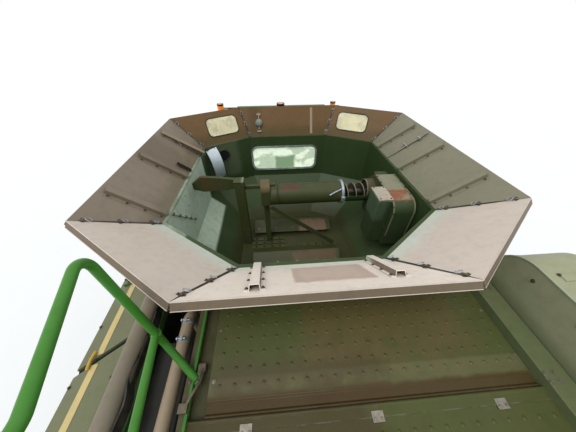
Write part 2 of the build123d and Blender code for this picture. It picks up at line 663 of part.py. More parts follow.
def flank_frames():
    """Shelf and upright on each flank that carry the shields, with a rolled rail along the left one."""
    rear, front = BODY_REAR_Y, BAY_FRONT_Y + 350
    frame = block((BODY_HALF_WIDTH, FLANK_X), (rear, front), (BAY_FLOOR_Z - SHELF_THICKNESS, BAY_FLOOR_Z))
    left = mirror(frame, about=Plane.YZ)
    left += block((-FLANK_X, SHEET - FLANK_X), (rear, front), (BAY_FLOOR_Z - SHELF_THICKNESS, ROLL_Z))
    left += rod((-ROLL_X, rear, ROLL_Z), (-ROLL_X, front, ROLL_Z), ROLL_RADIUS)
    right = frame + block((BODY_HALF_WIDTH, BEAM_RIGHT_X), (HOUSING_REAR_Y, HOUSING_FRONT_Y),
                          (BAY_FLOOR_Z - SHELF_THICKNESS, BAY_FLOOR_Z))
    right += block((FLANK_X - SHEET, FLANK_X), (HOUSING_FRONT_Y + 20, front),
                   (BAY_FLOOR_Z - SHELF_THICKNESS, FLANK_TOP_Z))
    rail = block((FLANK_X - FLANK_RAIL, FLANK_X), (rear, SHIELD_FRONT_Y + 20),
                 (BAY_FLOOR_Z - 2 * FLANK_RAIL, BAY_FLOOR_Z))
    return left + right + both_sides(rail) + shield_ears()


def shield_ears():
    """A bored ear at each end of every swinging shield, on the flank frames."""
    x = FLANK_X + HINGE_OFFSET
    shape = None
    for side, rear, front, _ in SHIELD_TABLE.values():
        for y in (rear - EAR_GAP - EAR, front + EAR_GAP):
            ear = block((FLANK_X, x + 22), (y, y + EAR), (SHIELD_HINGE_Z - 22, BAY_FLOOR_Z - SHELF_THICKNESS))
            ear -= rod((x, y - 1, SHIELD_HINGE_Z), (x, y + EAR + 1, SHIELD_HINGE_Z), SHIELD_HINGE_RADIUS + SHAFT_GAP)
            ear = ear if side > 0 else mirror(ear, about=Plane.YZ)
            shape = ear if shape is None else shape + ear
    return shape


def top_shields():
    """Sloping panels beyond the left rail, in a front and a rear length, and a short right one."""
    inner, outer = TOP_SHIELD_INNER, TOP_SHIELD_OUTER
    face = make_face(Polyline((-FLANK_X, inner[1] + 8), (-inner[0], inner[1]), (-outer[0], outer[1]),
                              (-outer[0], outer[1] - 60), (8 - outer[0], outer[1] - 60),
                              (12 - outer[0], outer[1] - TOP_SHIELD_SHEET),
                              (-inner[0], inner[1] - TOP_SHIELD_SHEET), (-FLANK_X, inner[1] - TOP_SHIELD_SHEET),
                              close=True))
    shape = None
    for rear, front in ((BODY_REAR_Y, SHIELD_GAP_Y - SHIELD_GAP / 2), (SHIELD_GAP_Y + SHIELD_GAP / 2, -500)):
        piece = extrude(Plane.XZ.offset(-front) * face, amount=front - rear)
        shape = piece if shape is None else shape + piece
    short = extrude(Plane.XZ.offset(500) * face, amount=-(HOUSING_FRONT_Y + 20) - 500)
    return shape + mirror(short, about=Plane.YZ)


FLANK_RAIL = 40
HINGE_OFFSET = 20
EAR = 12
EAR_GAP = 3
SHIELD_TABLE = {
    # name: side, rear station, front station, foot height
    "side_shield_left_front": (-1, SHIELD_GAP_Y + SHIELD_GAP / 2, SHIELD_FRONT_Y, 1270),
    "side_shield_left_rear": (-1, BODY_REAR_Y + 20, SHIELD_GAP_Y - SHIELD_GAP / 2, 1370),
    "side_shield_right_front": (1, SHIELD_GAP_Y + SHIELD_GAP / 2, SHIELD_FRONT_Y, 1270),
    "side_shield_right_rear": (1, BODY_REAR_Y + 20, SHIELD_GAP_Y - SHIELD_GAP / 2, 1370),
}


def side_shield(side, rear, front, foot):
    """Lower shield hung from a hinge rod along its top, with returned edges."""
    x, sheet = FLANK_X + 6, 12
    panel = block((x + SHIELD_SHEET - sheet, x + SHIELD_SHEET), (rear, front), (foot, SHIELD_TOP_Z))
    rimmed = block((x, x + SHIELD_SHEET), (rear, front), (foot, SHIELD_TOP_Z))
    rimmed -= block((x - 1, x + SHIELD_SHEET), (rear + 20, front - 20), (foot + 20, SHIELD_TOP_Z - 20))
    shape = panel + rimmed
    hinge_x, reach = FLANK_X + HINGE_OFFSET, EAR + EAR_GAP - 2
    shape += rod((hinge_x, rear - reach, SHIELD_HINGE_Z), (hinge_x, front + reach, SHIELD_HINGE_Z),
                 SHIELD_HINGE_RADIUS)
    return shape if side > 0 else mirror(shape, about=Plane.YZ)


SHIELD_HINGE_Z = SHIELD_TOP_Z + 6
PIPE_RADIUS = 40
PIPE_X = -900
PIPE_Z = 3180


def side_pipe():
    """Air pipe along the left well, from the shelf up, back and into the bay wall."""
    return pipe([(PIPE_X, -1000, BAY_FLOOR_Z), (PIPE_X, -1000, PIPE_Z), (PIPE_X, -2600, PIPE_Z),
                 (DECK_LEFT_X, -2600, PIPE_Z)], 75, PIPE_RADIUS)


def well_tank():
    """Black tank standing in the left well."""
    tank = block((-1150, -820), (-1750, -1150), (BAY_FLOOR_Z, 3040))
    return fillet(tank.edges().filter_by(Axis.Y).group_by(Axis.Z)[-1], 70)


def deck_handrail():
    """Bent tube rail at the left of the deck with a middle rail and a rear post."""
    top = pipe([(-735, -1450, DECK_Z + 13), (-880, -1320, 3490), (-976, -1245, 4150),
                (-850, -1710, 4120), (-850, -2850, 4120), (-850, -2850, BAY_FLOOR_Z)], 70, RAIL_RADIUS)
    middle = pipe([(-893, -1310, 3580), (-850, -1700, 3580), (-850, -2850, 3580)], 60, RAIL_RADIUS)
    foot = block((-765, -705), (-1480, -1420), (DECK_Z, DECK_Z + 12))
    return top + middle + foot


def rear_ladder():
    """Ladder at the left of the straw hood, up to the well."""
    y, bottom, top = -3240, 620, BAY_FLOOR_Z + 60
    outer, inner = -BODY_HALF_WIDTH - 390, -BODY_HALF_WIDTH - 50
    shape = None
    for x in (outer, inner):
        stile = block((x - 15, x + 15), (y - 25, y + 25), (bottom, top))
        shape = stile if shape is None else shape + stile
    steps = 7
    for index in range(steps):
        z = bottom + 60 + index * (top - bottom - 160) / (steps - 1)
        shape += block((outer, inner), (y - 45, y + 25), (z, z + 24))
    for z in (1600, 2400):
        shape += block((inner - 15, -BODY_HALF_WIDTH), (y - 25, y + 25), (z, z + 40))
    return shape


# Unloading auger

def auger_turret():
    """Fixed elbow base at the tank's left, from the body up to the turning joint."""
    x, y = AUGER_X, AUGER_Y
    base = rod((x, y, TURRET_BASE_Z), (x, y, TURRET_TOP_Z), AUGER_RADIUS - 15)
    arm = rod((-BODY_HALF_WIDTH, y, TURRET_BASE_Z), (x, y, TURRET_BASE_Z), AUGER_RADIUS - 15)
    flange = rod((x, y, TURRET_TOP_Z - 30), (x, y, TURRET_TOP_Z), AUGER_RADIUS + 10)
    return base + arm + flange + Pos(x, y, TURRET_BASE_Z) * Sphere(AUGER_RADIUS - 15)


TURRET_TOP_Z = AUGER_Z - AUGER_RADIUS - 60


def unloading_auger():
    """Discharge tube with its elbow over the turret and its spout at the far end."""
    x, y, z = AUGER_X, AUGER_Y, AUGER_Z
    tube = rod((x, y, z), (x, AUGER_END_Y, z), AUGER_RADIUS)
    tube += Pos(x, y, z) * Sphere(AUGER_RADIUS)
    tube += rod((x, y, TURRET_TOP_Z + 5), (x, y, z), AUGER_RADIUS - 5)
    tube += rod((x, y, TURRET_TOP_Z + SEAT_GAP), (x, y, TURRET_TOP_Z + 30), AUGER_RADIUS + 10)
    spout = block((x - 140, x + 140), (AUGER_END_Y, AUGER_END_Y + SPOUT_LENGTH), (z - SPOUT_DROP, z))
    return tube + spout


# Cab

def cab_outline(inset):
    """The cab's side view, moved in by inset."""
    face = make_face(Polyline((CAB_REAR_Y, CAB_FLOOR_Z), (CAB_TOE_Y, CAB_FLOOR_Z), CAB_NOSE,
                              (CAB_BROW_Y, CAB_EAVES_Z), (CAB_REAR_Y, CAB_EAVES_Z), close=True))
    face = offset(face, amount=-inset, kind=Kind.INTERSECTION) if inset else face
    half = CAB_HALF_WIDTH - inset
    return extrude(Plane.YZ.offset(-half) * face, amount=2 * half)


def cab_openings(clearance):
    """Cut volumes for windscreen, side panes, rear pane and door, less a clearance all round."""
    c, h = clearance, CAB_HALF_WIDTH
    front = block((-800 + c, 800 - c), (CAB_NOSE[0] - 180, CAB_NOSE[0] + 60), (CAB_NOSE[1] + 40 + c, CAB_EAVES_Z - 60 - c))
    right = block((h - CAB_WALL - 1, h + 1), (1760 + c, 3180 - c), (2330 + c, CAB_EAVES_Z - 60 - c))
    left = block((-h - 1, CAB_WALL + 1 - h), (DOOR_Y[1] + 60 + c, 3190 - c), (2330 + c, CAB_EAVES_Z - 60 - c))
    rear = window_plate((WINDOW_X[0] + c, WINDOW_X[1] - c), (CAB_REAR_Y - 1, CAB_REAR_Y + CAB_WALL + 1),
                        (WINDOW_Z[0] + c, WINDOW_Z[1] - c), WINDOW_CORNER)
    return front + right + left + rear


def cab_frame():
    """Cab body: floor, posts, sills and rear wall, hollow and open where glass and door go."""
    shell = cab_outline(0) - cab_outline(CAB_WALL)
    shell -= block((-CAB_HALF_WIDTH + CAB_WALL, CAB_HALF_WIDTH - CAB_WALL), (CAB_REAR_Y + CAB_WALL, CAB_BROW_Y - CAB_WALL),
                   (CAB_EAVES_Z - CAB_WALL - 1, CAB_EAVES_Z + 1))
    shell -= cab_openings(0)
    shell -= block((-CAB_HALF_WIDTH - 1, CAB_WALL + 1 - CAB_HALF_WIDTH), DOOR_Y, DOOR_Z)
    mount = block((400, 500), (BODY_FRONT_Y, CAB_REAR_Y), (CAB_FLOOR_Z + 20, CAB_FLOOR_Z + 160))
    hinges = None
    for low, high in door_knuckles():
        x, y = door_axis()
        pin = rod((x, y, low - 14), (x, y, high + 14), DOOR_PIN)
        for z in (low - 14, high + 2):
            pin += rod((x, y, z), (x, y, z + 12), DOOR_HINGE - 1)
            pin += block((x, x + DOOR_HINGE + 1), (DOOR_Y[0] - 15, y), (z, z + 12))
        hinges = pin if hinges is None else hinges + pin
    return shell + both_sides(mount) + hinges


def cab_glass():
    """Windscreen, fixed side panes and rear pane, seated in the cab's openings."""
    middle = (CAB_WALL - GLASS) / 2
    skin = cab_outline(middle) - cab_outline(middle + GLASS)
    return skin & cab_openings(SEAT_GAP)


def cab_roof():
    """Roof shell with a thick brow, sloping down to the front."""
    half = CAB_HALF_WIDTH + 40
    return slab([(CAB_REAR_Y - 20, CAB_EAVES_Z), (CAB_REAR_Y - 20, ROOF_REAR_Z - 20), (CAB_REAR_Y + 30, ROOF_REAR_Z),
                 (ROOF_FRONT_Y - 260, ROOF_FRONT_Z + 12), (ROOF_FRONT_Y, ROOF_FRONT_Z - 20),
                 (ROOF_FRONT_Y, CAB_EAVES_Z)], (-half, half))


DOOR_GAP = 6


def cab_door():
    """Framed door in the cab's left side, with hinge knuckles behind and a handle in front."""
    x = -CAB_HALF_WIDTH
    y = (DOOR_Y[0] + DOOR_GAP, DOOR_Y[1] - DOOR_GAP)
    z = (DOOR_Z[0] + DOOR_GAP, DOOR_Z[1] - DOOR_GAP)
    door = block((x, x + CAB_WALL - 8), y, z)
    door -= door_window(0)
    hinge_x, hinge_y = door_axis()
    for low, high in door_knuckles():
        door += rod((hinge_x, hinge_y, low), (hinge_x, hinge_y, high), DOOR_HINGE)
        door += block((hinge_x, x + 1), (hinge_y, hinge_y + 18), (low, high))
        door -= rod((hinge_x, hinge_y, low - 1), (hinge_x, hinge_y, high + 1), DOOR_PIN + SHAFT_GAP)
    handle_y = y[1] - 60
    door += block((x - 45, x - 30), (handle_y - 15, handle_y + 15), (2560, 2740))
    for z0 in (2560, 2720):
        door += block((x - 45, x), (handle_y - 15, handle_y + 15), (z0, z0 + 20))
    return door


DOOR_HINGE = 12
DOOR_PIN = 6


def door_axis():
    """X and station of the door's hinge line."""
    return -CAB_HALF_WIDTH - DOOR_HINGE, DOOR_Y[0] + DOOR_GAP


def door_knuckles():
    """Low and high Z of each knuckle of the door's hinges."""
    return [(z, z + 100) for z in (DOOR_Z[0] + 156, DOOR_Z[1] - 256)]


def door_window(clearance):
    """Window of the door, less a clearance all round."""
    c, x = clearance, -CAB_HALF_WIDTH
    return block((x - 1, x + CAB_WALL + 1), (DOOR_Y[0] + DOOR_FRAME + 60 + c, DOOR_Y[1] - DOOR_FRAME - 20 - c),
                 (DOOR_Z[0] + 180 + c, DOOR_Z[1] - DOOR_FRAME - 20 - c))


def cab_door_glass():
    x = -CAB_HALF_WIDTH + (CAB_WALL - GLASS) / 2 - 4
    return door_window(SEAT_GAP) & block((x, x + GLASS), DOOR_Y, DOOR_Z)


SEAT_Y = 2230


def operator_seat():
    """Seat on a pedestal, with its back and armrests."""
    floor = CAB_FLOOR_Z + CAB_WALL
    seat = block((-160, 160), (SEAT_Y - 160, SEAT_Y + 160), (floor, floor + 330))
    seat += block((-260, 260), (SEAT_Y - 250, SEAT_Y + 270), (floor + 330, floor + 450))
    seat += slab([(SEAT_Y - 250, floor + 400), (SEAT_Y - 340, floor + 1050), (SEAT_Y - 240, floor + 1060),
                  (SEAT_Y - 130, floor + 400)], (-240, 240))
    return seat


def steering_console():
    """Steering column with its wheel, and the control console at the seat's right."""
    floor = CAB_FLOOR_Z + CAB_WALL
    foot, head = (0, 2950, floor + 20), (0, 2800, floor + 780)
    column = rod(foot, head, 45) + block((-110, 110), (2880, 3020), (floor, floor + 40))
    ring = Plane(origin=head, z_dir=Vector(*head) - Vector(*foot)).location * (Torus(200, 14) + Box(400, 24, 16) + Box(24, 400, 16))
    console = block((330, 560), (1950, 2700), (floor, floor + 560))
    return column + ring + console


def operator_platform():
    """Platform at the cab's left with its guard rails."""
    x, (rear, front) = PLATFORM_OUTER_X, PLATFORM_Y
    z = CAB_FLOOR_Z + PLATFORM_THICKNESS
    deck = block((x, -CAB_HALF_WIDTH), PLATFORM_Y, (CAB_FLOOR_Z, z))
    top = z + RAIL_HEIGHT
    rail = pipe([(x + 30, LADDER_GATE_Y, z), (x + 30, LADDER_GATE_Y, top), (x + 30, rear + 30, top),
                 (-CAB_HALF_WIDTH - 120, rear + 30, top), (-CAB_HALF_WIDTH - 120, rear + 30, z)], 80, RAIL_RADIUS)
    front_rail = pipe([(x + 30, front - 30, z), (x + 30, front - 30, top), (-CAB_HALF_WIDTH - 100, front - 30, top),
                       (-CAB_HALF_WIDTH - 100, front - 30, z)], 80, RAIL_RADIUS)
    middle = rod((x + 30, LADDER_GATE_Y, z + 500), (x + 30, rear + 30, z + 500), RAIL_RADIUS)
    middle += rod((x + 30, rear + 30, z + 500), (-CAB_HALF_WIDTH - 120, rear + 30, z + 500), RAIL_RADIUS)
    middle += rod((x + 30, front - 30, z + 500), (-CAB_HALF_WIDTH - 100, front - 30, z + 500), RAIL_RADIUS)
    hinge = rod((LADDER_X, LADDER_Y, CAB_FLOOR_Z - 330), (LADDER_X, LADDER_Y, CAB_FLOOR_Z), 24)
    return deck + rail + front_rail + middle + hinge


LADDER_GATE_Y = 2330


def front_ladder():
    """Swinging ladder below the platform, on a sleeve round the platform's hinge post."""
    x, front = LADDER_X, LADDER_Y
    rear = front - LADDER_WIDTH
    top = CAB_FLOOR_Z - 20
    sleeve = rod((x, front, CAB_FLOOR_Z - 320), (x, front, CAB_FLOOR_Z - 40), 34)
    sleeve -= rod((x, front, CAB_FLOOR_Z - 321), (x, front, CAB_FLOOR_Z - 39), 24 + SHAFT_GAP)
    shape = sleeve
    for y0 in (rear, front - 70):
        shape += slab([(y0, LADDER_FOOT_Z), (y0, top), (y0 + 30, top), (y0 + 30, LADDER_FOOT_Z)], (x - 60, x + 20))
    shape += block((x - 20, x + 20), (front - 60, front - 30), (CAB_FLOOR_Z - 320, CAB_FLOOR_Z - 60))
    steps = 5
    for index in range(steps):
        z = LADDER_FOOT_Z + 20 + index * (top - LADDER_FOOT_Z - 140) / (steps - 1)
        shape += block((x - 100, x + 60), (rear, front - 40), (z, z + 30))
    return shape


# Feeder house

def height_between(a, b, y):
    """Height at a station on the line from a to b, both (station, height)."""
    return a[1] + (b[1] - a[1]) * (y - a[0]) / (b[0] - a[0])


def feeder_house():
    """Feeder house: a tapering channel open at its front, with pivot stubs and cylinder lugs."""
    pivot_y, pivot_z = FEEDER_PIVOT
    heel = (pivot_y - 20, pivot_z - 400)
    toe = (FRONT_END_Y - FEEDER_TOE, FEEDER_FRONT_FOOT_Z)
    crown = (pivot_y + 120, pivot_z + 100)
    lip_top_z = FEEDER_FRONT_TOP[1] - FEEDER_LIP_DROP
    outline = [(pivot_y - 60, pivot_z + 90), crown, FEEDER_FRONT_TOP, (FRONT_END_Y, lip_top_z),
               (FRONT_END_Y, FEEDER_FRONT_FOOT_Z), toe, heel, (pivot_y - 90, pivot_z - 60)]
    house = slab(outline, (-FEEDER_HALF_WIDTH, FEEDER_HALF_WIDTH))
    t = FEEDER_SHEET
    hollow = [(CHANNEL_REAR_Y, height_between(crown, FEEDER_FRONT_TOP, CHANNEL_REAR_Y) - 1.04 * t),
              (FEEDER_FRONT_TOP[0], FEEDER_FRONT_TOP[1] - t), (FRONT_END_Y + 1, lip_top_z - t),
              (FRONT_END_Y + 1, FEEDER_FRONT_FOOT_Z + t), (toe[0], toe[1] + t),
              (CHANNEL_REAR_Y, height_between(heel, toe, CHANNEL_REAR_Y) + 1.08 * t)]
    house -= slab(hollow, (t - FEEDER_HALF_WIDTH, FEEDER_HALF_WIDTH - t))
    house += rod((-FEEDER_HALF_WIDTH - 60, *FEEDER_PIVOT), (FEEDER_HALF_WIDTH + 60, *FEEDER_PIVOT), PIVOT_RADIUS)
    eye_y, eye_z = LIFT_EYE
    lug = slab([(eye_y - 45, eye_z - 45), (eye_y - 90, eye_z + 140), (eye_y + 110, eye_z + 80),
                (eye_y + 45, eye_z - 45)], (LIFT_X + 42, LIFT_X + 62))
    lug += Pos(-104, 0, 0) * lug
    lug += rod((LIFT_X - 62, eye_y, eye_z), (LIFT_X + 62, eye_y, eye_z), LIFT_PIN_RADIUS)
    y, z = HEADER_PIN
    ear = block((FEEDER_HALF_WIDTH, FEEDER_HALF_WIDTH + HEADER_EAR), (y - 45, y + 45), (z - 45, z + 45))
    ear -= rod((FEEDER_HALF_WIDTH, y, z), (FEEDER_HALF_WIDTH + HEADER_EAR, y, z), HEADER_PIN_RADIUS)
    return house + both_sides(lug + ear)


def lift_axis(start, end):
    """Two points on the cylinder's line, at distances start and end from its base pin."""
    length = math.dist(LIFT_BASE, LIFT_EYE)
    step = ((LIFT_EYE[0] - LIFT_BASE[0]) / length, (LIFT_EYE[1] - LIFT_BASE[1]) / length)
    return [(LIFT_X, LIFT_BASE[0] + step[0] * d, LIFT_BASE[1] + step[1] * d) for d in (start, end)]


ROD_SHOWN = 410
ROD_START = 490
BORE_START = 180


def lift_barrels():
    """Barrels of the two lift cylinders, bored for their rods."""
    barrel_end = math.dist(LIFT_BASE, LIFT_EYE) - ROD_SHOWN
    eye = rod((LIFT_X - 38, *LIFT_BASE), (LIFT_X + 38, *LIFT_BASE), 48)
    eye -= rod((LIFT_X - 39, *LIFT_BASE), (LIFT_X + 39, *LIFT_BASE), LIFT_PIN_RADIUS + SHAFT_GAP)
    barrel = rod(*lift_axis(110, barrel_end), BARREL_RADIUS)
    barrel += rod(*lift_axis(40, 111), 30)
    barrel -= rod(*lift_axis(BORE_START, barrel_end + 1), ROD_RADIUS + SHAFT_GAP)
    return both_sides(barrel + eye)


def lift_rods():
    """Rods of the lift cylinders, with eyes round the feeder house's pins."""
    length = math.dist(LIFT_BASE, LIFT_EYE)
    shape = rod(*lift_axis(ROD_START, length - 40), ROD_RADIUS)
    hole = LIFT_PIN_RADIUS + LIFT_EYE_GAP
    shape += rod((LIFT_X - 36, *LIFT_EYE), (LIFT_X + 36, *LIFT_EYE), hole + 18)
    shape -= rod((LIFT_X - 37, *LIFT_EYE), (LIFT_X + 37, *LIFT_EYE), hole)
    return both_sides(shape)


# Lamps and mirrors

BEACON = (-65, 2360, 3560, 3670)
BEACON_RADIUS = 68
SIDE_LAMPS = ((-890, -1000, 1945, 3700), (880, 895, 2570, 3530))


def roof_height(y):
    """Height of the roof's top at a station."""
    share = (y - CAB_REAR_Y - 30) / (ROOF_FRONT_Y - 260 - CAB_REAR_Y - 30)
    return ROOF_REAR_Z + share * (ROOF_FRONT_Z + 12 - ROOF_REAR_Z)


def lamps():
    """Roof beacon, two small side lamps on stalks and the working lamps in the roof's brow."""
    x, y, low, high = BEACON
    shape = rod((x, y, roof_height(y - 45)), (x, y, low), 45) + rod((x, y, low), (x, y, high), BEACON_RADIUS)
    for foot_x, lamp_x, y, z in SIDE_LAMPS:
        shape += rod((foot_x, y, roof_height(y - 12)), (foot_x, y, z + 12), 12)
        shape += rod((foot_x, y, z), (lamp_x, y, z), 12)
        shape += rod((lamp_x, y, z), (lamp_x, y, z + 90), 48)
    return shape


def mirrors():
    """Mirrors on arms at the cab's front corners."""
    x, y = CAB_HALF_WIDTH + 40, ROOF_FRONT_Y - 120
    z = CAB_EAVES_Z + 20
    arm = pipe([(x, y, z), (x + 330, y, z), (x + 330, y, z - 260)], 60, 12)
    glass = block((x + 230, x + 430), (y - 20, y + 20), (z - 640, z - 240))
    return both_sides(arm + glass)


EXHAUST = (1255, -2720, 3950)


def exhaust_stack():
    """Exhaust pipe standing on the deck's right-hand beam behind the radiator housing."""
    x, y, top = EXHAUST
    return rod((x, y, BEAM_TOP_Z), (x, y, top), 55) + rod((x, y, BEAM_TOP_Z + 120), (x, y, top - 160), 62)


NODES = {
    "chassis_frame": chassis_frame,
    "separator_body": separator_body,
    "straw_hood": straw_hood,
    "chopper_rotor": chopper_rotor,
    "grain_tank": grain_tank,
    "extension_front": extension_front,
    "extension_front_corners": extension_front_corners,
    "extension_windows": extension_windows,
    "extension_sides": extension_sides,
    "extension_rear_corners": extension_rear_corners,
    "extension_rear": extension_rear,
    "tank_window": tank_window,
    "auger_covers": auger_covers,
    "tank_cross_tube": tank_cross_tube,
    "loading_auger": loading_auger,
    "engine_deck": engine_deck,
    "rear_cover": rear_cover,
    "engine_block": engine_block,
    "cooling_housing": cooling_housing,
    "rotary_screen": rotary_screen,
    "flank_frames": flank_frames,
    "top_shields": top_shields,
    "side_pipe": side_pipe,
    "well_tank": well_tank,
    "deck_handrail": deck_handrail,
    "rear_ladder": rear_ladder,
    "auger_turret": auger_turret,
    "unloading_auger": unloading_auger,
    "cab_frame": cab_frame,
    "cab_roof": cab_roof,
    "cab_glass": cab_glass,
    "cab_door": cab_door,
    "cab_door_glass": cab_door_glass,
    "operator_seat": operator_seat,
    "steering_console": steering_console,
    "operator_platform": operator_platform,
    "front_ladder": front_ladder,
    "feeder_house": feeder_house,
    "lift_barrels": lift_barrels,
    "lift_rods": lift_rods,
    "rear_axle": rear_axle,
    "tie_rod": tie_rod,
    "lamps": lamps,
    "mirrors": mirrors,
    "exhaust_stack": exhaust_stack,
}


def main():
    os.makedirs("parts", exist_ok=True)
    pieces = {name: make() for name, make in NODES.items()}
    for name, row in SHIELD_TABLE.items():
        pieces[name] = side_shield(*row)
    for word, side in (("left", -1), ("right", 1)):
        pieces[f"front_rim_{word}"] = front_rim(side)
        pieces[f"front_tyre_{word}"] = wheel_at(
            tyre(FRONT_TYRE_RADIUS, FRONT_TYRE_WIDTH, FRONT_RIM_RADIUS), side,
            FRONT_WHEEL_X, FRONT_AXLE_Y, FRONT_TYRE_RADIUS)
        pieces[f"rear_rim_{word}"] = rear_rim(side)
        pieces[f"rear_tyre_{word}"] = wheel_at(
            tyre(REAR_TYRE_RADIUS, REAR_TYRE_WIDTH, REAR_RIM_RADIUS), side,
            REAR_WHEEL_X, REAR_AXLE_Y, REAR_TYRE_RADIUS)
        pieces[f"rear_knuckle_{word}"] = rear_knuckle(side)
    for name, shape in pieces.items():
        export_step(shape, f"parts/{name}.step")


main()
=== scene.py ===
import math

import bmesh
import bpy
from mathutils import Matrix, Vector


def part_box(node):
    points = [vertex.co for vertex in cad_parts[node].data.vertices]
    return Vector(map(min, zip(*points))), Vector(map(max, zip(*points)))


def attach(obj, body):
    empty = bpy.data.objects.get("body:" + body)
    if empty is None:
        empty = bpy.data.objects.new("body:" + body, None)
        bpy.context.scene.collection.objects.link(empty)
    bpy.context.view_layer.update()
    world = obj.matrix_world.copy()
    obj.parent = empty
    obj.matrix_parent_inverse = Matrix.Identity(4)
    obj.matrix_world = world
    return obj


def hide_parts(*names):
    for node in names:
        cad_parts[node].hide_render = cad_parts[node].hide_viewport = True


# Looks of a dusty combine harvester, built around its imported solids. Metres, +X right, +Y forwards, +Z up.

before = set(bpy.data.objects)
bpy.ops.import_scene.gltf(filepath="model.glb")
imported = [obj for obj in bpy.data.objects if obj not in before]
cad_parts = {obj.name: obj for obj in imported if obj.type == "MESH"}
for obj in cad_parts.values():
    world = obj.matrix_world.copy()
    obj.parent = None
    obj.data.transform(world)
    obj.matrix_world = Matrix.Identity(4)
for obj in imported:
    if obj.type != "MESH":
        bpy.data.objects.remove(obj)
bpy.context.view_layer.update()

# Camera: a wide lens held above the engine deck, looking forwards and down into the grain tank
LENS_PIXELS = 229.0
FRAME_WIDTH = 576.0
SENSOR_WIDTH = 36.0
CAMERA_PLACE = (-0.26, -1.84, 4.80)
CAMERA_PITCH = 48.7
CAMERA_YAW = -4.4
SUN_STRENGTH = 1.55

# The grain tank's rim and the extension's rim, corner by corner from the front: half width and station
TANK_CORNERS = ((0.570, 1.550), (1.190, 1.240), (1.2434, -0.3064), (0.550, -0.823))
RIM_CORNERS = ((0.700, 1.720), (1.540, 1.300), (1.607, -0.640), (0.768, -1.265))
TANK_RIM_Z = 3.43
RIM_Z = 3.80
PANEL_SHEET = 0.010
DECK_Z = 3.300

# Ribs of the side panels: Y at the tank's rim and at the extension's rim. Ribs of the rear panel: X at
# both rims, and how much of the slope the rib covers
SIDE_RIBS = ((1.040, 0.890), (0.445, 0.320), (-0.190, -0.270))
REAR_RIBS = ((-0.400, -0.378, 0.88), (0.425, 0.419, 0.76))
RIB_SHARE = 0.93
RIB_BOLT_OFFSET = 0.043

# Filling auger in the tank
TUBE_Y = 0.460
TUBE_Z = 3.140
TUBE_RADIUS = 0.128


def srgb(red, green, blue):
    """Linear colour of a colour given as 0 to 255 display values."""
    shares = [value / 255 for value in (red, green, blue)]
    return tuple(v / 12.92 if v <= 10 / 255 else ((v + 0.055) / 1.055) ** 2.4 for v in shares)


DUST = srgb(150, 132, 104)
RUST = srgb(104, 58, 34)
BARE_STEEL = srgb(150, 148, 140)


# Materials

